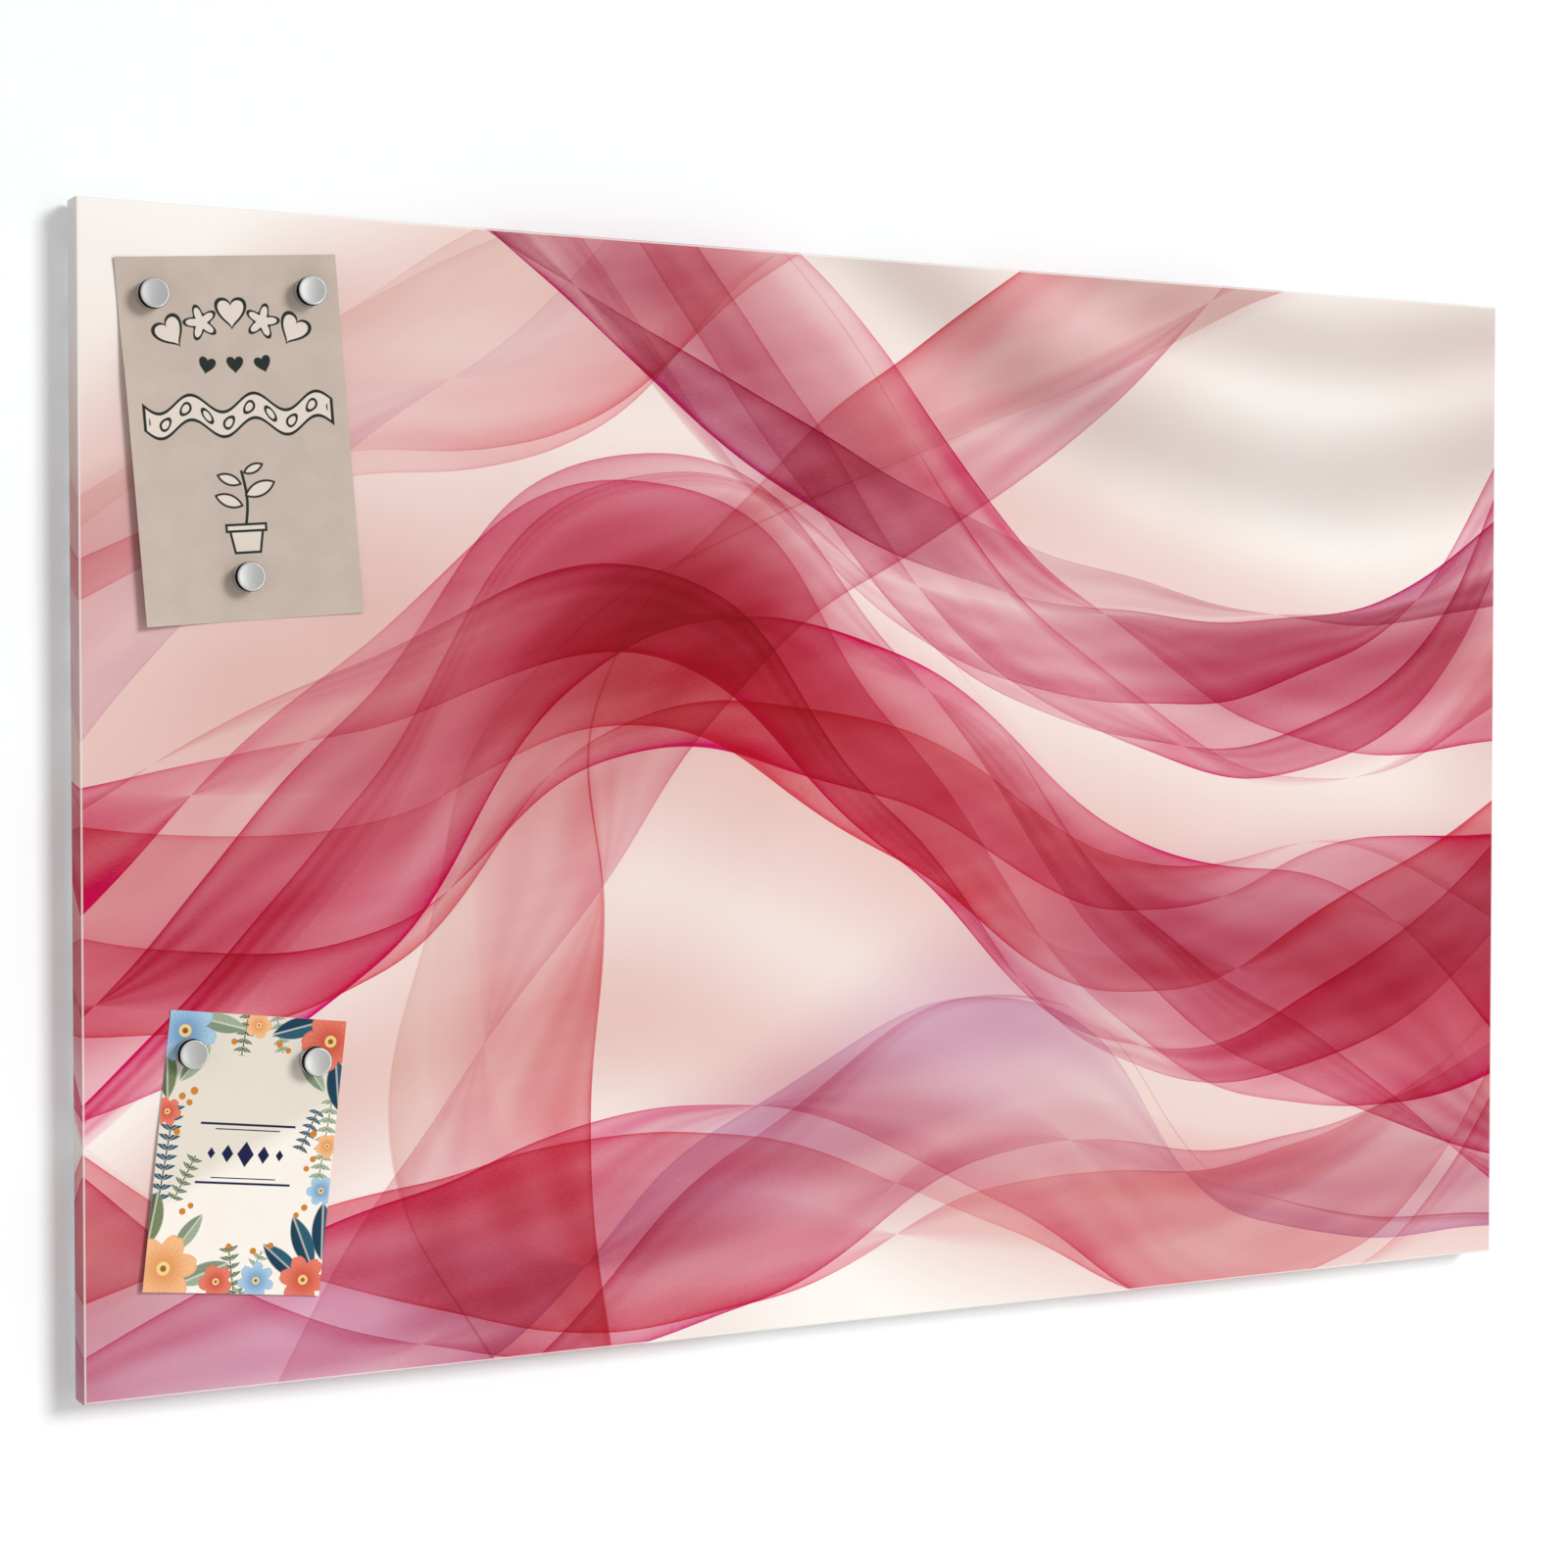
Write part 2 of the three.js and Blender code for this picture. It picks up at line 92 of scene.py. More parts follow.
def srgb(red, green, blue):
    """A colour from its screen values, 0 to 255."""
    parts = (red / 255, green / 255, blue / 255)
    return tuple(c / 12.92 if c <= 0.04045 else ((c + 0.055) / 1.055) ** 2.4 for c in parts)


def feed(socket, value):
    """Links a varying value to a shader socket, or sets the socket's own value."""
    if isinstance(value, Value):
        value.tree.links.new(value.socket, socket)
    elif isinstance(value, tuple) and len(value) == 3 and socket.type == "RGBA":
        socket.default_value = (*value, 1.0)
    else:
        socket.default_value = value


class Value:
    """A number or colour that varies over a surface: a shader socket that takes arithmetic."""

    def __init__(self, tree, socket):
        self.tree = tree
        self.socket = socket

    def math(self, operation, *others):
        node = self.tree.nodes.new("ShaderNodeMath")
        node.operation = operation
        for socket, value in zip(node.inputs, (self, *others)):
            feed(socket, value)
        return Value(self.tree, node.outputs[0])

    def __add__(self, other):
        return self.math("ADD", other)

    def __sub__(self, other):
        return self.math("SUBTRACT", other)

    def __rsub__(self, other):
        return self.math("MULTIPLY_ADD", -1.0, other)

    def __mul__(self, other):
        return self.math("MULTIPLY", other)

    def __truediv__(self, other):
        return self.math("DIVIDE", other)

    def __pow__(self, other):
        return self.math("POWER", other)

    def __abs__(self):
        return self.math("ABSOLUTE")

    __radd__ = __add__
    __rmul__ = __mul__

    def smooth(self, low, high):
        """0 at low and before it, 1 at high and beyond it, and smooth between."""
        node = self.tree.nodes.new("ShaderNodeMapRange")
        node.interpolation_type = "SMOOTHSTEP"
        for socket, value in zip(node.inputs, (self, low, high)):
            feed(socket, value)
        return Value(self.tree, node.outputs[0])

    def clamp(self):
        node = self.tree.nodes.new("ShaderNodeClamp")
        feed(node.inputs[0], self)
        return Value(self.tree, node.outputs[0])

    def curve(self, points):
        """The height, at this number, of a smooth curve through points."""
        node = self.tree.nodes.new("ShaderNodeFloatCurve")
        node.mapping.use_clip = False
        line = node.mapping.curves[0]
        line.points[0].location = points[0]
        line.points[1].location = points[-1]
        for point in points[1:-1]:
            line.points.new(*point)
        node.mapping.update()
        feed(node.inputs["Value"], self)
        return Value(self.tree, node.outputs[0])


def length(x, z):
    return (x * x + z * z).math("SQRT")


class Surface:
    """A material of one principled shader, with the nodes that feed it."""

    def __init__(self, name, **settings):
        self.material = bpy.data.materials.new(name)
        self.material.use_nodes = True
        self.tree = self.material.node_tree
        self.shader = self.tree.nodes["Principled BSDF"]
        for socket, value in settings.items():
            self.set(socket.replace("_", " "), value)

    def set(self, socket, value):
        feed(self.shader.inputs[socket], value)

    def place(self, kind):
        """The three coordinates of the point: Object, UV or Normal."""
        source = self.tree.nodes.new("ShaderNodeTexCoord")
        parts = self.tree.nodes.new("ShaderNodeSeparateXYZ")
        self.tree.links.new(source.outputs[kind], parts.inputs[0])
        return [Value(self.tree, socket) for socket in parts.outputs]

    def point(self, x, y, z):
        node = self.tree.nodes.new("ShaderNodeCombineXYZ")
        for socket, value in zip(node.inputs, (x, y, z)):
            feed(socket, value)
        return Value(self.tree, node.outputs[0])

    def noise(self, x, y, z, scale=1.0, detail=2.0):
        node = self.tree.nodes.new("ShaderNodeTexNoise")
        node.inputs["Scale"].default_value = scale
        node.inputs["Detail"].default_value = detail
        feed(node.inputs["Vector"], self.point(x, y, z))
        return Value(self.tree, node.outputs[0])

    def cells(self, x, y, z, scale):
        """A random number for each cell of an irregular mosaic."""
        node = self.tree.nodes.new("ShaderNodeTexVoronoi")
        node.inputs["Scale"].default_value = scale
        feed(node.inputs["Vector"], self.point(x, y, z))
        parts = self.tree.nodes.new("ShaderNodeSeparateXYZ")
        self.tree.links.new(node.outputs["Color"], parts.inputs[0])
        return Value(self.tree, parts.outputs[0])

    def mix(self, factor, under, over, blend="MIX"):
        node = self.tree.nodes.new("ShaderNodeMix")
        node.data_type = "RGBA"
        node.blend_type = blend
        for index, value in ((0, factor), (6, under), (7, over)):
            feed(node.inputs[index], value)
        return Value(self.tree, node.outputs[2])

    def bump(self, height, distance):
        node = self.tree.nodes.new("ShaderNodeBump")
        node.inputs["Strength"].default_value = 1.0
        node.inputs["Distance"].default_value = distance
        feed(node.inputs["Height"], height)
        self.set("Normal", Value(self.tree, node.outputs[0]))


# The print: a generic picture of thin veils over a pale ground

CREAM = srgb(253, 249, 244)
PEACH = srgb(241, 227, 220)
BLUSH = srgb(231, 194, 190)
CORAL = srgb(230, 96, 122)
CRIMSON = srgb(226, 4, 130)
ROSE = srgb(219, 76, 138)
MAGENTA = srgb(197, 40, 130)
MAUVE = srgb(216, 168, 210)
PEARL = srgb(220, 211, 210)

# Folds out of focus: the middle line across the board, half the width, colour and depth
FOLDS = (
    (((0, 1.5), (0.4, 1.1), (0.7, 0.86), (1, 0.84)), 0.09, PEARL, 0.9),
    (((0, 1.6), (0.45, 1.2), (0.75, 0.98), (1, 0.96)), 0.07, PEARL, 0.8),
    (((0, 0.75), (0.3, 0.95), (0.6, 0.75), (1, 0.6)), 0.14, BLUSH, 0.7),
    (((0, 0.5), (0.3, 0.62), (0.6, 0.42), (1, 0.3)), 0.3, BLUSH, 0.9),
    (((0, 0.1), (0.3, 0.3), (0.6, 0.12), (1, 0.05)), 0.16, BLUSH, 0.8),
    (((0, 0.02), (0.3, 0.1), (0.6, 0.3), (1, 0.36)), 0.12, MAUVE, 0.55),
    (((0, 0.34), (0.18, 0.5), (0.36, 0.68), (0.54, 0.5), (0.72, 0.34), (1, 0.24)), 0.1, CRIMSON, 0.5),
    (((0, 1.4), (0.3, 1.05), (0.5, 0.8), (0.7, 0.63), (1, 0.66)), 0.07, ROSE, 0.22),
)

# The higher this power is, the narrower is the dark hem of a veil
HEM_POWER = 70.0

# Flows of veils: the two lines that each runs between, how many veils there are and how they cross,
# their colours, how dense they are, how soon they thin out, and how dark their hems are
FLOWS = (
    dict(
        upright=False,
        low=((0, 0.56), (0.14, 0.74), (0.28, 0.8), (0.42, 0.96), (0.6, 1.1), (1, 1.3)),
        high=((0, 0.78), (0.14, 0.9), (0.28, 1.04), (0.42, 1.2), (0.6, 1.3), (1, 1.5)),
        count=5, turn=2.2, twist=0.7, start=0.6,
        tints=(BLUSH, CORAL, MAUVE), density=0.42, thinning=(0.6, 1.3), hem=0.3,
    ),
    dict(
        upright=True,
        low=((0, 0.1), (0.2, 0.14), (0.4, 0.2), (0.6, 0.24), (0.8, 0.42), (1, 0.6)),
        high=((0, 0.34), (0.2, 0.3), (0.4, 0.34), (0.6, 0.42), (0.8, 0.62), (1, 0.84)),
        count=5, turn=2.1, twist=0.8, start=0.9,
        tints=(CORAL, BLUSH, ROSE), density=0.5, thinning=(0.5, 1.1), hem=0.3,
    ),
    dict(
        upright=False,
        low=((0, 0.22), (0.16, 0.34), (0.34, 0.54), (0.52, 0.42), (0.7, 0.22), (0.86, 0.16), (1, 0.08)),
        high=((0, 0.52), (0.16, 0.64), (0.34, 0.8), (0.52, 0.68), (0.7, 0.44), (0.86, 0.44), (1, 0.48)),
        count=9, turn=1.9, twist=0.9, start=0.4,
        tints=(CRIMSON, CORAL, CRIMSON, ROSE), density=0.95, thinning=(0.5, 0.9, 1.5), hem=0.6,
    ),
    dict(
        upright=False,
        low=((0, 1.2), (0.25, 0.98), (0.45, 0.72), (0.65, 0.56), (0.85, 0.5), (1, 0.54)),
        high=((0, 1.5), (0.25, 1.25), (0.45, 0.98), (0.65, 0.74), (0.85, 0.68), (1, 0.82)),
        count=7, turn=2.3, twist=1.1, start=1.0,
        tints=(ROSE, MAGENTA, CRIMSON), density=0.7, thinning=(0.5, 1.1), hem=0.5,
    ),
    dict(
        upright=False,
        low=((0, -0.1), (0.2, -0.06), (0.4, 0.02), (0.6, 0.06), (0.8, -0.04), (1, 0.02)),
        high=((0, 0.2), (0.2, 0.16), (0.4, 0.26), (0.6, 0.3), (0.8, 0.14), (1, 0.26)),
        count=6, turn=2.0, twist=1.3, start=0.2,
        tints=(CORAL, ROSE, MAUVE, CRIMSON), density=0.65, thinning=(0.5, 1.1), hem=0.4,
    ),
)


def veil_edges(low, high, count, turn, twist, start):
    """The hem and the far edge of each veil of a flow, crossing as they run between two lines."""
    for i in range(count):
        hem, far = [], []
        for k, ((along, bottom), (_, top)) in enumerate(zip(low, high)):
            hem_share = 0.5 + 0.5 * sin(start + turn * i + twist * k)
            far_share = 0.5 + 0.5 * sin(start + 1.5 + 1.37 * turn * i + 1.21 * twist * k)
            hem.append((along, bottom + (top - bottom) * hem_share))
            far.append((along, bottom + (top - bottom) * far_share))
        yield hem, far


def veiled(surface, u, w):
    """The colour of the print at shares u of the board's width and w of its height."""
    x = u * (BOARD_WIDTH / BOARD_HEIGHT)
    # The lines waver, and the cloth has fine threads, streaks and worn places
    along = u + (surface.noise(x, w, 4.0, 1.3, 1.0) - 0.5) * 0.06
    above = w + (surface.noise(x, w, 0.0, 1.8) - 0.5) * 0.08
    thread = surface.noise(u * 260.0, w * 900.0, 1.0, detail=0.0) * 0.14 + 0.93
    streak = surface.noise(u * 3.0 + w * 2.0, w * 22.0 - u * 8.0, 6.0) * 0.6 + 0.7
    cloth = thread * streak
    ripple = surface.noise(x, w, 20.0, 2.6) * 14.0
    weaves = []
    for depth in (9.0, 12.0, 15.0):
        weaves.append(cloth * (surface.noise(x, w, depth, 1.9, 1.0).smooth(0.25, 0.72) * 0.75 + 0.45))
    colour = surface.mix(surface.noise(x, w, 2.0, 2.2).smooth(0.35, 0.7), CREAM, PEACH)
    # Each fold and each veil tints what lies under it
    for middle, half, tint, depth in FOLDS:
        off = (above - along.curve(middle)) / half
        cover = (1.0 - off * off).clamp()
        colour = surface.mix(cover * cover * depth, colour, tint, "MULTIPLY")
    for flow in FLOWS:
        reach, across = (above, along) if flow["upright"] else (along, above)
        edges = veil_edges(*(flow[key] for key in ("low", "high", "count", "turn", "twist", "start")))
        for i, (hem, far) in enumerate(edges):
            first = reach.curve(hem)
            share = (across - first) / (reach.curve(far) - first)
            left = (1.0 - share).clamp()
            thinning = flow["thinning"][i % len(flow["thinning"])]
            pleats = (share * (11.0 + 4.0 * (i % 4)) + ripple).math("SINE") * 0.16 + 0.9
            cover = left**thinning * pleats * flow["density"] + left**HEM_POWER * flow["hem"]
            cover = cover * share.math("GREATER_THAN", 0.0) * weaves[i % 3]
            colour = surface.mix(cover, colour, flow["tints"][i % len(flow["tints"])], "MULTIPLY")
    return colour


def printed_film():
    """The film: the print on the front, mirrored round the sides, and a painted highlight on the bends, where
    the print pales towards cream.
    """
    surface = Surface("printed_film", Specular_IOR_Level=0.12)
    x, y, z = surface.place("Object")
    turned_x, turned_y, turned_z = surface.place("Normal")
    depth = y - FRONT_Y * MM
    x_print = x - depth * x.math("SIGN") * abs(turned_x)
    middle = (BOARD_BOTTOM + BOARD_HEIGHT / 2) * MM
    z_print = z - depth * (z - middle).math("SIGN") * abs(turned_z)
    u = (x_print - BOARD_LEFT * MM) / (BOARD_WIDTH * MM)
    w = (z_print - BOARD_BOTTOM * MM) / (BOARD_HEIGHT * MM)
    colour = veiled(surface, u, w)
    facing = abs(turned_y)
    # Painted highlight: on the bends between the front and the sides, the print is mixed towards cream
    bend_highlight = facing.smooth(0.5, 0.75) * facing.smooth(0.999, 0.975)
    surface.set("Base Color", surface.mix(bend_highlight * 0.7, colour, CREAM))
    grain = surface.noise(x * 1000.0, y * 1000.0, z * 1000.0, 2.2, 3.0)
    surface.set("Roughness", grain * 0.14 + 0.36)
    surface.bump(grain, 0.00002)
    return surface.material


# Metals, foam and rubber


def galvanised():
    """Zinc-coated sheet: the coating's crystals, and faint rolling lines."""
    surface = Surface("galvanised_steel", Metallic=1.0)
    x, y, z = surface.place("Object")
    shift = surface.noise(x, y, z, 60.0) * 0.02
    crystal = surface.cells(x + shift, y, z - shift, 75.0)
    lines = surface.noise(x * 500.0, y * 500.0, z * 12.0)
    tone = crystal * 0.5 + lines * 0.35
    surface.set("Base Color", surface.mix(tone, srgb(186, 190, 194), srgb(226, 228, 230)))
    surface.set("Roughness", crystal * 0.2 + lines * 0.1 + 0.36)
    surface.bump(crystal * 0.3 + lines, 0.00003)
    return surface.material


def plated():
    """Bright zinc on punched steel plate."""
    surface = Surface("plated_steel", Metallic=1.0)
    x, y, z = surface.place("Object")
    lines = surface.noise(x * 60.0, y * 900.0, z * 1600.0, 1.0, 3.0)
    stain = surface.noise(x, y, z, 90.0, 3.0)
    surface.set("Base Color", surface.mix(stain, srgb(196, 198, 198), srgb(226, 224, 216)))
    surface.set("Roughness", lines * 0.22 + 0.22)
    surface.bump(lines, 0.00002)
    return surface.material


def alloy():
    """Aluminium rivets: turned, and lightly marked by the tool."""
    surface = Surface("rivet_alloy", Metallic=1.0)
    x, y, z = surface.place("Object")
    marks = surface.noise(x, y, z, 1400.0, 3.0)
    surface.set("Base Color", surface.mix(marks, srgb(188, 189, 191), srgb(224, 225, 226)))
    surface.set("Roughness", marks * 0.25 + 0.25)
    surface.bump(marks, 0.00003)
    return surface.material


def foam():
    """Closed-cell foam tape, seen at its edges."""
    surface = Surface("foam_tape", Specular_IOR_Level=0.2)
    x, y, z = surface.place("Object")
    cells = surface.cells(x, y, z, 2600.0)
    surface.set("Base Color", surface.mix(cells, srgb(64, 66, 68), srgb(92, 94, 96)))
    surface.set("Roughness", cells * 0.1 + 0.85)
    surface.bump(cells, 0.0001)
    return surface.material


def rubber():
    """Moulded rubber pads with a fine matt texture and a little dust."""
    surface = Surface("bumper_rubber", Specular_IOR_Level=0.4)
    x, y, z = surface.place("Object")
    grain = surface.noise(x, y, z, 2600.0, 3.0)
    dust = surface.noise(x, y, z, 160.0, 3.0).smooth(0.45, 0.8)
    surface.set("Base Color", surface.mix(dust * 0.5, srgb(38, 38, 40), srgb(86, 84, 82)))
    surface.set("Roughness", grain * 0.3 + 0.5)
    surface.bump(grain, 0.00006)
    return surface.material


def nickel(name, dark, light, roughness):
    """Nickel plate on a turned body, with fine rings from the tool."""
    surface = Surface(name, Metallic=1.0)
    x, y, z = surface.place("Object")
    rings = surface.noise(length(x, z) * 9000.0, y * 4000.0, 0.0)
    wear = surface.noise(x, y, z, 260.0, 3.0)
    surface.set("Base Color", surface.mix(rings * 0.5 + wear * 0.5, dark, light))
    surface.set("Roughness", rings * 0.06 + wear * 0.03 + roughness)
    surface.bump(rings, 0.000002)
    return surface.material


def groove():
    """Painted shade: near black in the groove round a magnet, and a painted dark reflection on the outer edge
    of the rim in front of it.
    """
    surface = Surface("groove_painted_shade", Specular_IOR_Level=0.3)
    x, y, z = surface.place("Object")
    grain = surface.noise(x, y, z, 1800.0, 3.0)
    surface.set("Base Color", surface.mix(grain, srgb(14, 14, 15), srgb(34, 34, 35)))
    surface.set("Roughness", grain * 0.2 + 0.45)
    return surface.material


def magnetic():
    """Sintered magnet discs."""
    surface = Surface("magnet_alloy", Metallic=1.0)
    x, y, z = surface.place("Object")
    grain = surface.noise(x, y, z, 2200.0, 3.0)
    surface.set("Base Color", surface.mix(grain, srgb(92, 92, 96), srgb(140, 140, 144)))
    surface.set("Roughness", grain * 0.25 + 0.35)
    surface.bump(grain, 0.00003)
    return surface.material


# Paper


def about(x, z, centre_x, centre_z, angle, size=1.0):
    """Coordinates round a motif's middle, turned by an angle in degrees and in units of its size."""
    across = x - centre_x
    up = z - centre_z
    c = cos(radians(angle)) / size
    s = sin(radians(angle)) / size
    return across * c + up * s, up * c - across * s


def inside(distance, blur):
    """1 where a distance is negative, 0 where it isn't, with an edge of that blur."""
    return 1.0 - distance.smooth(-blur, blur)


def flower_distance(x, z, petals, depth):
    wave = (z.math("ARCTAN2", x) * petals).math("COSINE")
    return length(x, z) - (wave * depth + (1.0 - depth))


def heart_distance(x, z):
    return length(x, z * 1.25 - abs(x).math("SQRT") * 0.9) - 1.0


def leaf_distance(x, z, half_width):
    """A pointed leaf of half length 1 along z."""
    radius = (1.0 + half_width * half_width) / (2.0 * half_width)
    return length(abs(x) + (radius - half_width), z) - radius


INK = srgb(42, 48, 46)
NOTE_TONE = srgb(193, 177, 164)
NOTE_PALE = srgb(203, 188, 176)
NOTE_LIGHT = srgb(226, 214, 203)
CARD_TONE = srgb(248, 240, 229)
CARD_PALE = srgb(252, 245, 236)
# Painted shade that darkens the card's upper left
CARD_PAINTED_SHADE = srgb(224, 215, 200)


def outlined(surface, colour, distance, size, line):
    """A motif with an ink outline and a light middle, from a distance in units of its size."""
    blur = 0.2 / size
    colour = surface.mix(inside(distance, blur), colour, INK)
    return surface.mix(inside(distance + line / size, blur), colour, NOTE_LIGHT)


# The note's drawing, in millimetres from the middle of the sheet
ARC_RADIUS = 58.0
ARC_Z = 3.0
ARC_STEP = 16.0
BIG_HEART = 8.4
STAR = 9.4
SMALL_HEART = 4.4
SMALL_HEARTS_X = (-15.0, 0.0, 15.0)
SMALL_HEARTS_Z = 36.0
RIBBON_Z = 12.0
RIBBON_WAVE = 4.5
RIBBON_TURN = 0.19
RIBBON_HALF_WIDTH = 7.0
RIBBON_HALF_LENGTH = 50.0
BEAD_RADIUS = 3.3
BEAD_HALF_SPACE = 5.5
BEADS_HALF_LENGTH = 47.0
PLANT_X = -1.0
STEM_Z = -30.0
STEM_HALF_WIDTH = 0.75
STEM_HALF_HEIGHT = 14.0
POT_Z = -52.0
POT_HALF_WIDTH = 8.2
POT_HALF_HEIGHT = 6.2
POT_TAPER = 0.18
POT_RIM_Z = -45.0
POT_RIM_HALF_WIDTH = 11.0
POT_RIM_HALF_HEIGHT = 2.3
# Leaves of the plant: side, height of the foot, half length
PLANT_LEAVES = ((-1, -34.0, 8.0), (1, -29.0, 9.0), (-1, -23.0, 7.0), (1, -17.5, 6.0))


def note_colour(surface, x, z, stock):
    """Doodles in dark ink: hearts and stars on an arc, three small hearts, a ribbon with beads,
    and a sprout in a pot."""
    colour = stock
    for i in range(5):
        angle = (i - 2) * ARC_STEP
        size = BIG_HEART if i % 2 == 0 else STAR
        centre = (ARC_RADIUS * sin(radians(angle)), ARC_RADIUS * cos(radians(angle)) + ARC_Z)
        local = about(x, z, *centre, -angle, size)
        if i % 2 == 0:
            distance = heart_distance(*local)
        else:
            distance = flower_distance(local[1], local[0], 5.0, 0.24)
        colour = outlined(surface, colour, distance, size, 1.7)
    for centre_x in SMALL_HEARTS_X:
        local = about(x, z, centre_x, SMALL_HEARTS_Z, centre_x, SMALL_HEART)
        colour = surface.mix(inside(heart_distance(*local), 0.05), colour, INK)
    wave = (x * RIBBON_TURN).math("SINE") * RIBBON_WAVE
    height = z - wave - RIBBON_Z
    ribbon = (abs(height) - RIBBON_HALF_WIDTH).math("MAXIMUM", abs(x) - RIBBON_HALF_LENGTH)
    colour = outlined(surface, colour, ribbon, 1.0, 1.6)
    bead = length((x + BEAD_HALF_SPACE).math("PINGPONG", BEAD_HALF_SPACE), height)
    beads = outlined(surface, colour, bead - BEAD_RADIUS, 1.0, 1.3)
    colour = surface.mix(inside(abs(x) - BEADS_HALF_LENGTH, 0.1), colour, beads)
    sway = ((z - STEM_Z + STEM_HALF_HEIGHT) * 0.12).math("SINE") * 1.6
    stem = inside(abs(x - sway - PLANT_X) - STEM_HALF_WIDTH, 0.15)
    colour = surface.mix(stem * inside(abs(z - STEM_Z) - STEM_HALF_HEIGHT, 0.15), colour, INK)
    for side, foot, size in PLANT_LEAVES:
        centre = (side * (size * 0.93 + 0.4) + PLANT_X, foot + size * 0.37)
        local = about(x, z, *centre, -side * 68.0, size)
        colour = outlined(surface, colour, leaf_distance(*local, 0.44), size, 1.1)
    taper = (z - POT_Z) * POT_TAPER + POT_HALF_WIDTH
    pot = (abs(x - PLANT_X) - taper).math("MAXIMUM", abs(z - POT_Z) - POT_HALF_HEIGHT)
    colour = outlined(surface, colour, pot, 1.0, 1.3)
    rim = (abs(x - PLANT_X) - POT_RIM_HALF_WIDTH).math("MAXIMUM", abs(z - POT_RIM_Z) - POT_RIM_HALF_HEIGHT)
    return outlined(surface, colour, rim, 1.0, 1.3)


CORAL_PETAL = (srgb(204, 84, 66), srgb(230, 124, 102))
ORANGE_PETAL = (srgb(226, 148, 92), srgb(244, 186, 134))
BLUE_PETAL = (srgb(112, 156, 196), srgb(170, 202, 226))
TEAL_LEAF = (srgb(26, 62, 84), srgb(44, 92, 112))
SAGE_LEAF = (srgb(128, 146, 120), srgb(158, 174, 146))
OLIVE_LEAF = (srgb(84, 100, 72), srgb(116, 132, 94))
POLLEN = srgb(246, 214, 140)
SEED = srgb(150, 88, 50)
NAVY = srgb(28, 32, 72)
BERRY = srgb(206, 130, 44)

# The card's drawing, in millimetres from the middle of the sheet
# Leaves: middle, angle, half length, half width as a share of it, colours
CARD_LEAVES = (
    (-20, 66, 80, 14, 0.34, SAGE_LEAF), (-45, 40, 6, 14, 0.36, OLIVE_LEAF),
    (-31, 45, -36, 12, 0.34, SAGE_LEAF), (21, 66, -72, 14, 0.38, TEAL_LEAF),
    (45, 38, 10, 14, 0.4, TEAL_LEAF), (31, 43, 40, 12, 0.34, SAGE_LEAF),
    (45, -38, 4, 15, 0.38, TEAL_LEAF), (35, -44, 26, 15, 0.36, TEAL_LEAF),
    (25, -54, 52, 14, 0.34, TEAL_LEAF), (-16, -61, -66, 14, 0.36, SAGE_LEAF),
    (-45, -34, -6, 14, 0.38, OLIVE_LEAF), (-26, -41, -34, 12, 0.34, SAGE_LEAF),
)
# Sprigs: foot, angle, length, space between leaves, half length of a leaf, colours
CARD_SPRIGS = (
    (-6, 71, 176, 21, 4.2, 4.0, OLIVE_LEAF), (9, 71, 196, 19, 4.0, 3.6, SAGE_LEAF),
    (43, 30, 176, 44, 4.8, 4.8, SAGE_LEAF), (36, 24, 160, 22, 4.0, 3.8, TEAL_LEAF),
    (-43, -24, -4, 48, 5.0, 5.0, TEAL_LEAF), (-35, -24, -22, 24, 4.2, 3.8, OLIVE_LEAF),
    (1, -71, 12, 26, 4.4, 4.4, OLIVE_LEAF), (4, -71, -24, 24, 4.0, 4.0, SAGE_LEAF),
)
# Flowers: middle, radius, petals, colours
CARD_FLOWERS = (
    (-43, 20, 7.5, 6, CORAL_PETAL), (43, 6, 6.5, 5, ORANGE_PETAL), (42, -17, 8, 6, BLUE_PETAL),
    (0, 66, 7, 5, ORANGE_PETAL), (-9, -65, 9, 5, CORAL_PETAL), (12, -64, 10, 7, BLUE_PETAL),
    (37, -63, 13, 6, CORAL_PETAL), (-38, 61, 17, 7, BLUE_PETAL), (39, 60, 16, 5, CORAL_PETAL),
    (-37, -59, 18, 6, ORANGE_PETAL),
)
# Berries: middle, radius
CARD_BERRIES = (
    (-30, 31, 2.0), (-36, 28, 1.8), (-32, 25, 1.6), (-37, 10, 1.7), (12, 57, 1.7), (17, 54, 1.5),
    (-12, 57, 1.6), (35, 12, 1.8), (36, -1, 1.6), (33, -6, 1.5), (34, -26, 1.7), (30, -30, 1.5),
    (-30, -30, 1.7), (-26, -27, 1.5), (18, -46, 1.6), (-4, -47, 1.5), (9, -49, 1.7),
)
# Rules: height, half length, half thickness
CARD_RULES = ((15.0, 25.0, 0.6), (12.4, 17.0, 0.3), (-12.4, 17.0, 0.3), (-15.0, 25.0, 0.6))
# Diamonds: middle, half height
CARD_DIAMONDS = ((-18.0, 3.0), (-9.5, 4.6), (0.0, 6.6), (9.5, 4.6), (18.0, 3.0))


def painted_leaf(surface, colour, local_x, local_z, half_width, tones, within=1.0):
    """A two-toned leaf with a pale rib and fine veins, drawn over a colour."""
    dark, light = tones
    shade = surface.mix(local_x.smooth(-0.03, 0.03), dark, light)
    veins = ((local_z - abs(local_x)) * 24.0).math("SINE").smooth(0.5, 1.0)
    shade = surface.mix(veins * 0.3, shade, dark)
    shade = surface.mix(inside(abs(local_x) - 0.03, 0.03) * 0.5, shade, CARD_PALE)
    return surface.mix(inside(leaf_distance(local_x, local_z, half_width), 0.03) * within, colour, shade)


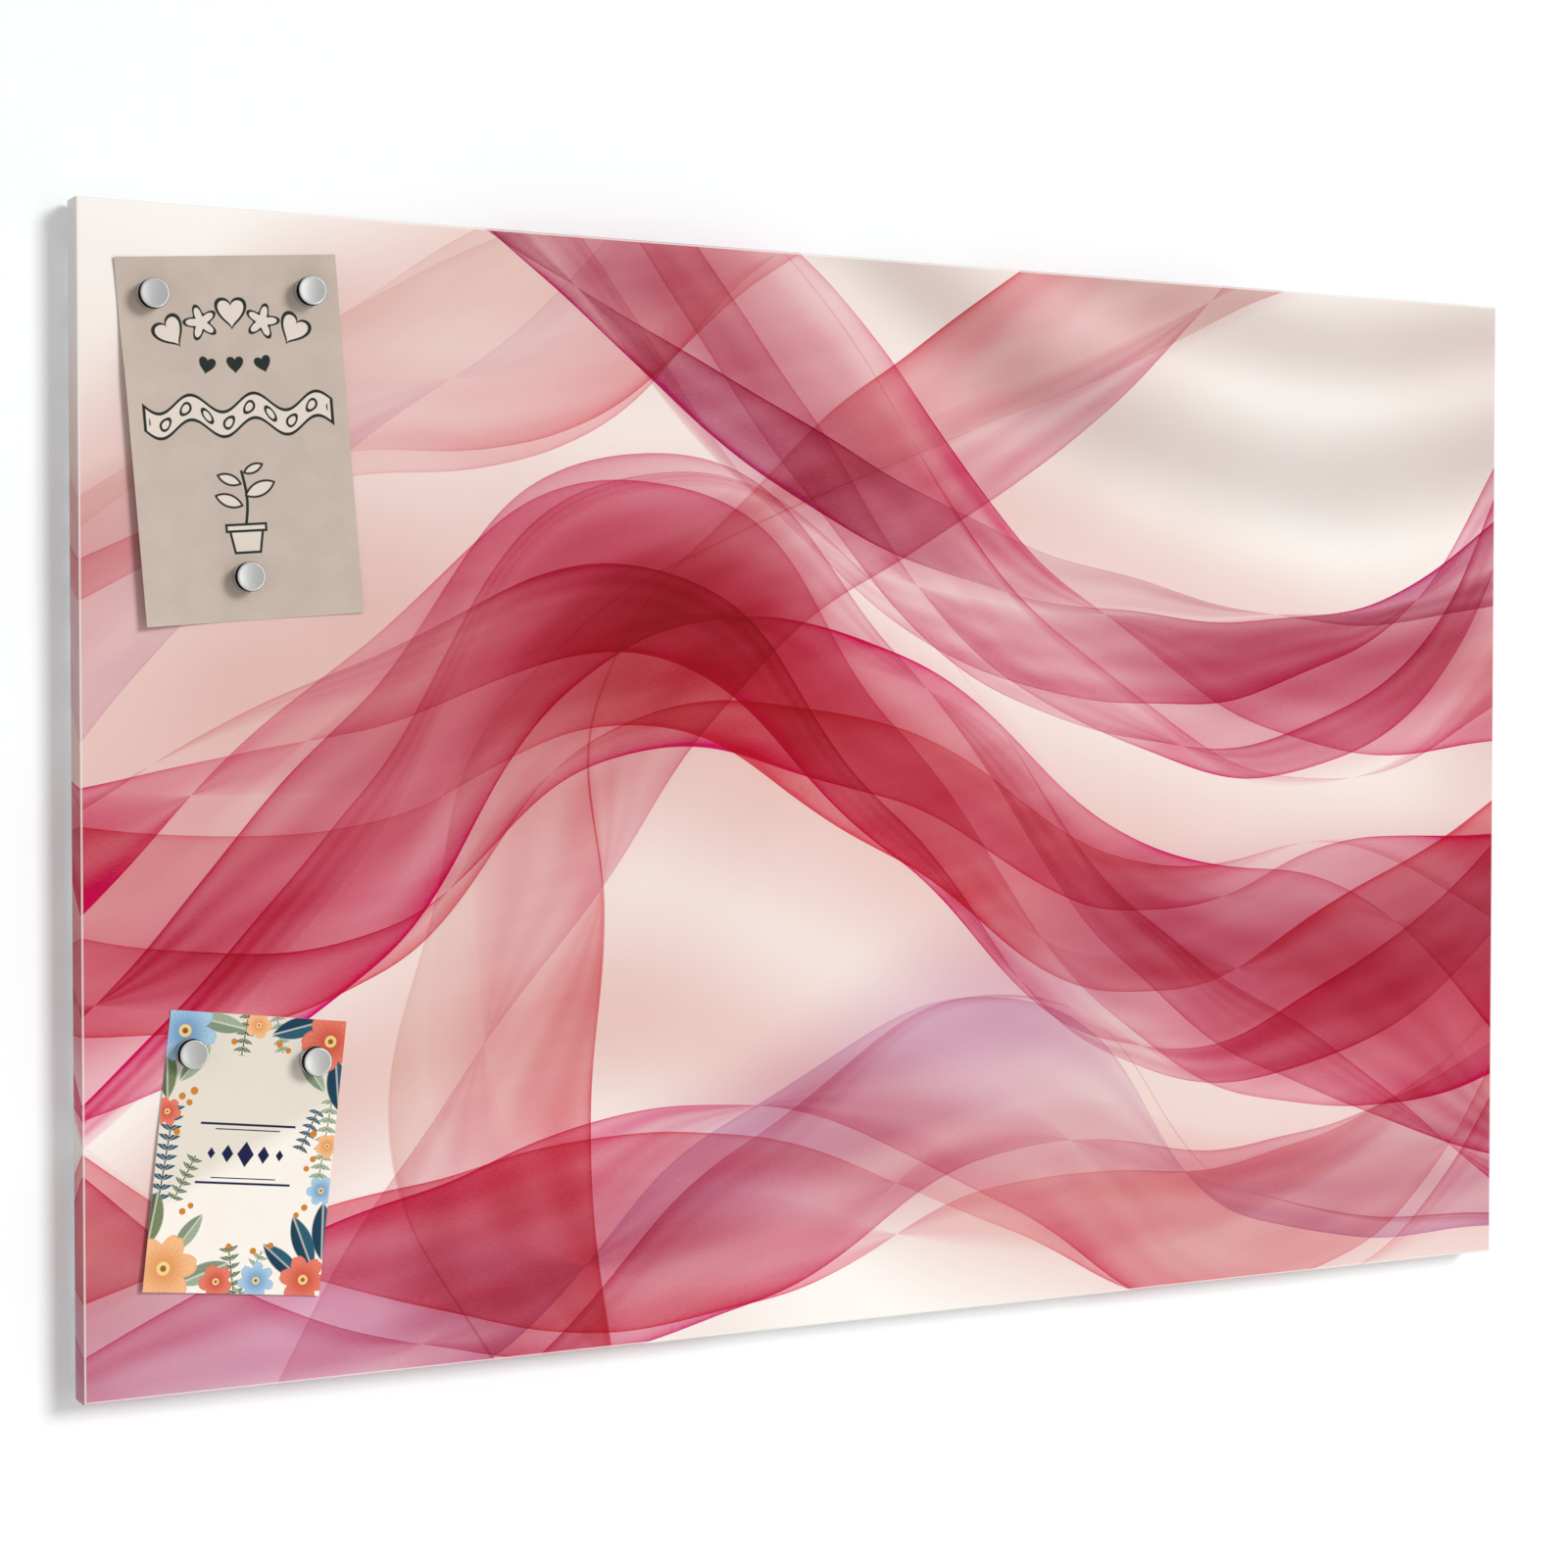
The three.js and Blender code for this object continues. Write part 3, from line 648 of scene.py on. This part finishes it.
def painted_flower(surface, colour, local_x, local_z, petals, tones):
    """A flower with notched, veined petals that darken towards its eye."""
    dark, light = tones
    radius = length(local_x, local_z)
    turn = local_z.math("ARCTAN2", local_x).math("PINGPONG", pi / petals)
    along = radius * turn.math("COSINE")
    off = radius * turn.math("SINE")
    half_width = 0.58 * tan(pi / petals)
    notch = (0.12 - off).math("MAXIMUM", 0.0) * along.smooth(0.8, 0.95)
    petal = length((along - 0.56) / 0.44, off / half_width) + notch - 1.0
    veins = (turn * (petals * 4.0)).math("COSINE").smooth(0.3, 1.0)
    shade = surface.mix(radius.smooth(0.05, 0.85), dark, light)
    shade = surface.mix(veins * radius.smooth(1.0, 0.35) * 0.4, shade, dark)
    shade = surface.mix(petal.smooth(-0.12, -0.02) * 0.5, shade, dark)
    colour = surface.mix(inside(petal, 0.04), colour, shade)
    colour = surface.mix(inside(radius - 0.19, 0.03), colour, POLLEN)
    return surface.mix(inside(radius - 0.09, 0.03), colour, SEED)


def card_colour(surface, x, z, stock):
    """A border of flowers, leaves and sprigs, round a pale field with a small ornament, and painted shade
    over the card's upper left.
    """
    # Painted shade: the upper left of the card is mixed towards a darker cream across a soft diagonal
    painted_shade_slope = (z * 0.8 - x * 0.5).smooth(-6.0, 6.0)
    colour = surface.mix(painted_shade_slope * 0.8, stock, CARD_PAINTED_SHADE)
    for foot_x, foot_z, angle, run, step, size, tones in CARD_SPRIGS:
        local_x, local_z = about(x, z, foot_x, foot_z, angle)
        within = inside(abs(local_z - run / 2) - run / 2, 0.1)
        stem = inside(abs(local_x) - 0.35, 0.1) * within
        colour = surface.mix(stem, colour, tones[0])
        along = local_z.math("WRAP", step / 2, -step / 2)
        leaf_x, leaf_z = about(abs(local_x), along, size * 0.72, size * 0.5, -52.0, size)
        colour = painted_leaf(surface, colour, leaf_x, leaf_z, 0.32, tones, within)
    for centre_x, centre_z, angle, size, half_width, tones in CARD_LEAVES:
        local = about(x, z, centre_x, centre_z, angle, size)
        colour = painted_leaf(surface, colour, *local, half_width, tones)
    for centre_x, centre_z, size, petals, tones in CARD_FLOWERS:
        local = about(x, z, centre_x, centre_z, centre_x * 3.0, size)
        colour = painted_flower(surface, colour, *local, petals, tones)
    for centre_x, centre_z, size in CARD_BERRIES:
        colour = surface.mix(inside(length(x - centre_x, z - centre_z) - size, 0.15), colour, BERRY)
    for height, half_length, half in CARD_RULES:
        rule = inside((abs(x) - half_length).math("MAXIMUM", abs(z - height) - half), 0.12)
        colour = surface.mix(rule, colour, NAVY)
    for centre_x, size in CARD_DIAMONDS:
        diamond = abs(x - centre_x) * 1.5 + abs(z) - size
        colour = surface.mix(inside(diamond, 0.15), colour, NAVY)
    return colour


def paper(name, width, height, tone, pale, draw=None):
    """Paper stock with fibres, specks and soft creases, printed by draw."""
    surface = Surface(name, Specular_IOR_Level=0.25)
    u, v, _ = surface.place("UV")
    x = (u - 0.5) * width
    z = (v - 0.5) * height
    fibre = surface.noise(x * 2.2, z * 2.2, 0.0, 1.0, 4.0)
    cloud = surface.noise(x * 0.06, z * 0.06, 3.0, 1.0, 3.0)
    stock = surface.mix((fibre * 0.5 + cloud * 0.5).smooth(0.3, 0.7), tone, pale)
    colour = draw(surface, x, z, stock) if draw else stock
    colour = surface.mix(fibre.smooth(0.3, 0.8) * 0.16, colour, pale, "SOFT_LIGHT")
    surface.set("Base Color", colour)
    surface.set("Roughness", fibre * 0.2 + 0.7)
    surface.bump(fibre * 0.5 + cloud * 4.0, 0.00012)
    return surface.material


# Pieces


def new_piece(name, vertices, faces, materials):
    mesh = bpy.data.meshes.new(name)
    mesh.from_pydata([tuple(c * MM for c in vertex) for vertex in vertices], [], faces)
    for material in materials:
        mesh.materials.append(material)
    mesh.update()
    piece = bpy.data.objects.new(name, mesh)
    scene.collection.objects.link(piece)
    return piece


def turned(name, profile, materials, slots=None):
    """A piece turned round y from (radius, y) points, from one end of the axis to the other."""
    vertices, rings = [], []
    for radius, y in profile:
        if radius == 0:
            rings.append([len(vertices)])
            vertices.append((0, y, 0))
            continue
        rings.append(list(range(len(vertices), len(vertices) + TURNED_SEGMENTS)))
        for i in range(TURNED_SEGMENTS):
            angle = 2 * pi * i / TURNED_SEGMENTS
            vertices.append((radius * cos(angle), y, radius * sin(angle)))
    faces, face_slots = [], []
    for k, (first, second) in enumerate(zip(rings, rings[1:])):
        for i in range(TURNED_SEGMENTS):
            j = (i + 1) % TURNED_SEGMENTS
            near = first[i % len(first)], first[j % len(first)]
            beyond = second[i % len(second)], second[j % len(second)]
            corners = (near[0], beyond[0], beyond[1], near[1])
            faces.append(list(dict.fromkeys(corners)))
            face_slots.append(slots[k] if slots else 0)
    piece = new_piece(name, vertices, faces, materials)
    for face, slot in zip(piece.data.polygons, face_slots):
        face.material_index = slot
        face.use_smooth = True
    piece.data.set_sharp_from_angle(angle=TURNED_SHARP)
    return piece


def arc(centre, radius, first, last, steps):
    """Points of an arc in a profile, angles in degrees from the direction of the radius."""
    points = []
    for i in range(steps + 1):
        angle = radians(first + (last - first) * i / steps)
        points.append((centre[0] + radius * cos(angle), centre[1] + radius * sin(angle)))
    return points


def dome(middle, start, across, rise, steps):
    """Points of a quarter of an ellipse in a profile, from just after its widest point to its top."""
    points = []
    for i in range(1, steps + 1):
        angle = pi / 2 * i / steps
        points.append((middle + across * cos(angle), start + rise * sin(angle)))
    return points


def rivet_profile():
    """From the tip of the set bulb, through the plate and the lip, to the top of the domed head."""
    tip = RIVET_BULB_Y - RIVET_BULB_LENGTH
    flat = RIVET_BULB_RADIUS - RIVET_BULB_BEVEL
    bulb = [(0, tip), (flat, tip), (RIVET_BULB_RADIUS, tip + RIVET_BULB_BEVEL)]
    bulb += [(RIVET_BULB_RADIUS, RIVET_BULB_Y), (RIVET_RADIUS, RIVET_BULB_Y)]
    head = [(RIVET_RADIUS, SEAT_GAP), (RIVET_HEAD_RADIUS, SEAT_GAP), (RIVET_HEAD_RADIUS, RIVET_HEAD_EDGE)]
    head += dome(0, RIVET_HEAD_EDGE, RIVET_HEAD_RADIUS, RIVET_HEAD_DOME, 8)[:-1]
    return bulb + head + [(0, RIVET_HEAD_EDGE + RIVET_HEAD_DOME)]


def pad_profile():
    """From the glued face, up the short side and over the rounded edge, to the flat face on the wall."""
    round_edge = dome(PAD_FLAT_RADIUS, PAD_EDGE, PAD_RADIUS - PAD_FLAT_RADIUS, PAD_THICKNESS - PAD_EDGE, 10)
    return [(0, SEAT_GAP), (PAD_RADIUS, SEAT_GAP), (PAD_RADIUS, PAD_EDGE)] + round_edge + [(0, PAD_THICKNESS)]


def magnet_profile():
    """From the back of the pocket, round the foot, the groove and the rim, to the middle of the
    dished face. The finishes of its rings are 0 on the face, 1 on the rim, 2 in the groove and on the
    outer steps of the rim, near black with painted shade and a painted dark reflection, and 3 on the foot."""
    groove_front = MAGNET_CAP - MAGNET_THICKNESS
    groove_rear = groove_front + MAGNET_GROOVE_WIDTH
    inner = MAGNET_RADIUS - MAGNET_GROOVE_DEPTH
    edge = MAGNET_FOOT_EDGE
    rim_edge = MAGNET_RIM_EDGE
    floor = MAGNET_FRONT_WALL - MAGNET_THICKNESS
    foot = [(0, floor), (MAGNET_POCKET, floor), (MAGNET_POCKET, 0)]
    foot += arc((MAGNET_RADIUS - edge, -edge), edge, 90, 0, 4) + [(MAGNET_RADIUS, groove_rear)]
    hollow = [(inner, groove_rear), (inner, groove_front)]
    rim = [(MAGNET_RADIUS, groove_front)]
    rim += arc((MAGNET_RADIUS - rim_edge, rim_edge - MAGNET_THICKNESS), rim_edge, 0, -90, 6)
    face = []
    for i in range(1, 13):
        share = 1 - i / 12
        dish = MAGNET_DISH * (1 - share * share)
        face.append(((MAGNET_RADIUS - rim_edge) * share, dish - MAGNET_THICKNESS))
    profile = foot + hollow + rim + face
    slots = [3] * (len(foot) - 1) + [2] * (len(hollow) + 1 + MAGNET_SHADED_RIM_STEPS)
    slots += [1] * (len(rim) - 1 - MAGNET_SHADED_RIM_STEPS) + [0] * len(face)
    return profile, slots


def lifted(x, z, width, height, bends, edge, spots):
    """How far a held sheet stands off the board at a point: along its left edge, away from the
    magnets, and beyond the lines between them."""
    flat = MAGNET_RADIUS + PRESSED_MARGIN
    nearest = min(((x - a) ** 2 + (z - b) ** 2) ** 0.5 for a, b in spots)
    free = min(1.0, max(0.0, (nearest - flat) / FREE_REACH))
    lift = edge * max(0.0, -2 * x / width) ** 3 * free * free * (3 - 2 * free)
    for (from_x, from_z), (to_x, to_z), most in bends:
        run = ((to_x - from_x) ** 2 + (to_z - from_z) ** 2) ** 0.5
        along = ((to_x - from_x) / run, (to_z - from_z) / run)

        def beyond(px, pz):
            return max(0.0, along[0] * (pz - from_z) - along[1] * (px - from_x) - flat)

        furthest = max(beyond(a * width / 2, b * height / 2) for a in (-1, 1) for b in (-1, 1))
        lift += most * (beyond(x, z) / furthest) ** 2
    return lift


def sheet(name, width, height, lift, materials):
    """A sheet of paper: two faces a paper's thickness apart and the cut edge between them."""
    columns = round(width / PAPER_CELL)
    rows = round(height / PAPER_CELL)
    grid = []
    for j in range(rows + 1):
        for i in range(columns + 1):
            x = width * (i / columns - 0.5)
            z = height * (j / rows - 0.5)
            grid.append((x, -lifted(x, z, width, height, *lift), z))
    front = [(x, y - PAPER_THICKNESS, z) for x, y, z in grid]
    count = len(grid)
    faces, slots = [], []
    for j in range(rows):
        for i in range(columns):
            a = j * (columns + 1) + i
            b, c, d = a + 1, a + columns + 2, a + columns + 1
            faces += [(a, b, c, d), (a + count, d + count, c + count, b + count)]
            slots += [1, 0]
    rim = list(range(columns))
    rim += [j * (columns + 1) + columns for j in range(rows)]
    rim += [rows * (columns + 1) + i for i in range(columns, 0, -1)]
    rim += [j * (columns + 1) for j in range(rows, 0, -1)]
    for a, b in zip(rim, rim[1:] + rim[:1]):
        faces.append((b, a, a + count, b + count))
        slots.append(1)
    piece = new_piece(name, grid + front, [tuple(reversed(face)) for face in faces], materials)
    mesh = piece.data
    layer = mesh.uv_layers.new(name="flat")
    for loop in mesh.loops:
        at = loop.vertex_index % count
        layer.data[loop.index].uv = (at % (columns + 1) / columns, at // (columns + 1) / rows)
    for face, slot in zip(mesh.polygons, slots):
        face.material_index = slot
        face.use_smooth = True
    mesh.set_sharp_from_angle(angle=PAPER_SHARP)
    return piece


def settle(piece, place, body, slot, *nodes):
    """Puts a piece in its place, to ride on a body in place of CAD nodes."""
    piece.matrix_world = place
    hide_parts(*nodes)
    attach(piece, body)


def held(centre_x, centre_z, turn):
    """The frame of a sheet on the board's face, turned as seen from the front."""
    spot = Matrix.Translation((centre_x * MM, (FRONT_Y - SEAT_GAP) * MM, centre_z * MM))
    return spot @ Matrix.Rotation(-radians(turn), 4, "Y")


# The CAD pieces that keep their own shapes; the stiffeners keep the frame's plain finish as well

for words, finish in (
    ("printed_film", printed_film()),
    ("steel_tray", galvanised()),
    ("hanger", plated()),
    ("tape", foam()),
    ("_core", magnetic()),
):
    for node in [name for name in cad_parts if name.startswith(words) or name.endswith(words)]:
        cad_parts[node].data.materials.clear()
        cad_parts[node].data.materials.append(finish)

# Rivets through the hangers, and pads on the lips

rivet_finish = alloy()
pad_finish = rubber()
for start, profile, finish, slot in (
    ("rivet", rivet_profile(), rivet_finish, "rivet_alloy"),
    ("bumper", pad_profile(), pad_finish, "bumper_rubber"),
):
    for node in [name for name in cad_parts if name.startswith(start)]:
        low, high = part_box(node)
        spot = ((low[0] + high[0]) / 2, LIP_Y * MM, (low[2] + high[2]) / 2)
        piece = turned(f"{node}_turned", profile, [finish])
        settle(piece, Matrix.Translation(spot), "board", slot, node)

# The note and the card, with their magnets

magnet_finishes = [
    nickel("nickel_face", srgb(208, 208, 207), srgb(222, 222, 221), 0.26),
    nickel("nickel_rim", srgb(240, 240, 240), srgb(250, 250, 250), 0.14),
    # Near-black painted shade in the groove, and a painted dark reflection on the rim's outer steps
    groove(),
    nickel("nickel_foot", srgb(196, 196, 194), srgb(214, 214, 212), 0.4),
]
magnet_rings, magnet_slots = magnet_profile()
# The sheets: place and turn on the board, magnets, bends (the two magnets of each and the lift beyond
# the line between them), lift of the left edge, and papers
SHEETS = {
    "note": dict(
        size=NOTE_SIZE,
        place=held(-367, -82, 4.5),
        magnets=dict(left=(-40.5, 73), right=(41.2, 73), lower=(-3, -70)),
        bends=(("lower", "left", 2), ("right", "lower", 0.8)),
        edge=3.2,
        front=paper("note_paper", *NOTE_SIZE, NOTE_TONE, NOTE_PALE, note_colour),
        back=paper("note_paper_back", *NOTE_SIZE, NOTE_TONE, NOTE_PALE),
        slot="note_paper",
    ),
    "card": dict(
        size=CARD_SIZE,
        place=held(-366.7, -446, -6.5),
        magnets=dict(left=(-34.5, 50), right=(30.5, 50)),
        bends=(("right", "left", 1.4),),
        edge=1.4,
        front=paper("card_paper", *CARD_SIZE, CARD_TONE, CARD_PALE, card_colour),
        back=paper("card_paper_back", *CARD_SIZE, CARD_TONE, CARD_PALE),
        slot="card_paper",
    ),
}
for name, kind in SHEETS.items():
    spots = kind["magnets"]
    bends = [(spots[a], spots[b], most) for a, b, most in kind["bends"]]
    lift = (bends, kind["edge"], list(spots.values()))
    piece = sheet(f"{name}_curled", *kind["size"], lift, [kind["front"], kind["back"]])
    settle(piece, kind["place"], name, kind["slot"], f"{name}_sheet")
    tuple(side * MM for side in kind["size"])
    for where, (x, z) in spots.items():
        body = f"{name}_magnet_{where}"
        piece = turned(f"{body}_turned", magnet_rings, magnet_finishes, magnet_slots)
        y = -PAPER_THICKNESS - SEAT_GAP
        spot = kind["place"] @ Matrix.Translation((x * MM, y * MM, z * MM))
        settle(piece, spot, body, "nickel", f"{body}_body")

# Stage, in metres: a white wall that only shows from the front, a pale floor, soft light from the
# upper right, a strip that shows in the magnets, a weak fill from the left, and a lamp for the back

WALL_Y = 0.0004
WALL_TOP = 2
WALL_TONE = (0.925, 0.95, 0.955, 1)
WALL_GLOW = 0.07
FLOOR_Z = -1.15
FLOOR_GLOW = 0.3
STAGE_REACH = 3
KEY_DIRECTION = (0.6, -1.0, 0.45)
KEY_DISTANCE = 24.0
KEY_SIZE = 8.0
KEY_POWER = 3430
LAMP_DISTANCE = 3.0
STRIP_DIRECTION = (0.46, -1.0, 0.0)
STRIP_WIDTH = 0.6
STRIP_HEIGHT = 3.0
STRIP_POWER = 10
FILL_DIRECTION = (-1.0, -0.3, 0.1)
FILL_SIZE = 2.0
FILL_POWER = 8
REAR_DIRECTION = (0.7, 1.0, 0.6)
REAR_SIZE = 1.6
REAR_POWER = 50
WORLD_SEEN = 1.0
WORLD_IN_GLOSS = 0.56
WORLD_LIGHT = 0.36
FACE_MIDDLE = Vector((0.0, FRONT_Y * MM, (BOARD_BOTTOM + BOARD_HEIGHT / 2) * MM))

# The camera, fitted to the corners of the board in the photograph
CAMERA_PLACE = (-0.80891, -1.47711, -0.21418)
CAMERA_TILT = 88.36
CAMERA_TURN = -27.30
CAMERA_LENS = 67.63
CAMERA_SENSOR = 36


def ray(tree, kind):
    """1 for rays of a kind, else 0."""
    return Value(tree, tree.nodes.new("ShaderNodeLightPath").outputs[kind])


def stage_plane(name, corners, material):
    mesh = bpy.data.meshes.new(name)
    mesh.from_pydata(corners, [], [(0, 1, 2, 3)])
    mesh.materials.append(material)
    plane = bpy.data.objects.new(name, mesh)
    scene.collection.objects.link(plane)


def wall_material():
    """White and a little aglow, for rays from the camera and from gloss that meet it from the front."""
    material = bpy.data.materials.new("wall")
    material.use_nodes = True
    tree = material.node_tree
    tree.nodes.clear()
    diffuse = tree.nodes.new("ShaderNodeBsdfDiffuse")
    diffuse.inputs[0].default_value = WALL_TONE
    glow = tree.nodes.new("ShaderNodeEmission")
    glow.inputs["Strength"].default_value = WALL_GLOW
    lit = tree.nodes.new("ShaderNodeAddShader")
    clear = tree.nodes.new("ShaderNodeBsdfTransparent")
    shown = tree.nodes.new("ShaderNodeMixShader")
    side = tree.nodes.new("ShaderNodeNewGeometry")
    out = tree.nodes.new("ShaderNodeOutputMaterial")
    seen = ray(tree, "Is Camera Ray").math("MAXIMUM", ray(tree, "Is Glossy Ray"))
    feed(shown.inputs[0], seen * (1.0 - Value(tree, side.outputs["Backfacing"])))
    for start, end in (
        (diffuse.outputs[0], lit.inputs[0]),
        (glow.outputs[0], lit.inputs[1]),
        (clear.outputs[0], shown.inputs[1]),
        (lit.outputs[0], shown.inputs[2]),
        (shown.outputs[0], out.inputs[0]),
    ):
        tree.links.new(start, end)
    return material


def floor_material():
    surface = Surface("floor", Roughness=0.6, Specular_IOR_Level=0.1)
    x, y, z = surface.place("Object")
    cloud = surface.noise(x, y, z, 2.0, 3.0)
    surface.set("Base Color", surface.mix(cloud, srgb(232, 231, 229), srgb(240, 239, 237)))
    surface.set("Emission Color", (1.0, 1.0, 1.0))
    surface.set("Emission Strength", ray(surface.tree, "Is Camera Ray") * FLOOR_GLOW)
    return surface.material


stage_plane(
    "wall",
    [
        (-STAGE_REACH, WALL_Y, FLOOR_Z),
        (STAGE_REACH, WALL_Y, FLOOR_Z),
        (STAGE_REACH, WALL_Y, WALL_TOP),
        (-STAGE_REACH, WALL_Y, WALL_TOP),
    ],
    wall_material(),
)
stage_plane(
    "floor",
    [
        (-STAGE_REACH, -STAGE_REACH, FLOOR_Z),
        (STAGE_REACH, -STAGE_REACH, FLOOR_Z),
        (STAGE_REACH, STAGE_REACH, FLOOR_Z),
        (-STAGE_REACH, STAGE_REACH, FLOOR_Z),
    ],
    floor_material(),
)


def lamp(name, direction, distance, width, height, power, mirrored=True):
    """A soft lamp that faces the board from a direction, and may be kept out of mirror images."""
    light = bpy.data.lights.new(name, "AREA")
    light.shape = "RECTANGLE"
    light.size = width
    light.size_y = height
    light.energy = power
    thing = bpy.data.objects.new(name, light)
    scene.collection.objects.link(thing)
    aim = Vector(direction).normalized()
    thing.location = FACE_MIDDLE + aim * distance
    thing.rotation_euler = aim.to_track_quat("Z", "Y").to_euler()
    thing.visible_glossy = mirrored


lamp("key", KEY_DIRECTION, KEY_DISTANCE, KEY_SIZE, KEY_SIZE, KEY_POWER, mirrored=False)
lamp("strip", STRIP_DIRECTION, LAMP_DISTANCE, STRIP_WIDTH, STRIP_HEIGHT, STRIP_POWER)
lamp("fill", FILL_DIRECTION, LAMP_DISTANCE, FILL_SIZE, FILL_SIZE, FILL_POWER, mirrored=False)
lamp("rear", REAR_DIRECTION, LAMP_DISTANCE, REAR_SIZE, REAR_SIZE, REAR_POWER)

world = bpy.data.worlds.new("studio")
world.use_nodes = True
scene.world = world
sky = world.node_tree.nodes["Background"]
sky.inputs["Color"].default_value = (1, 1, 1, 1)
in_view = ray(world.node_tree, "Is Camera Ray") * (WORLD_SEEN - WORLD_LIGHT)
in_gloss = ray(world.node_tree, "Is Glossy Ray") * (WORLD_IN_GLOSS - WORLD_LIGHT)
feed(sky.inputs["Strength"], in_view + in_gloss + WORLD_LIGHT)

camera = bpy.data.objects.new("camera", bpy.data.cameras.new("camera"))
camera.data.sensor_width = CAMERA_SENSOR
camera.data.lens = CAMERA_LENS
camera.location = CAMERA_PLACE
camera.rotation_euler = (radians(CAMERA_TILT), 0, radians(CAMERA_TURN))
scene.collection.objects.link(camera)
scene.camera = camera
scene.view_settings.view_transform = "Standard"
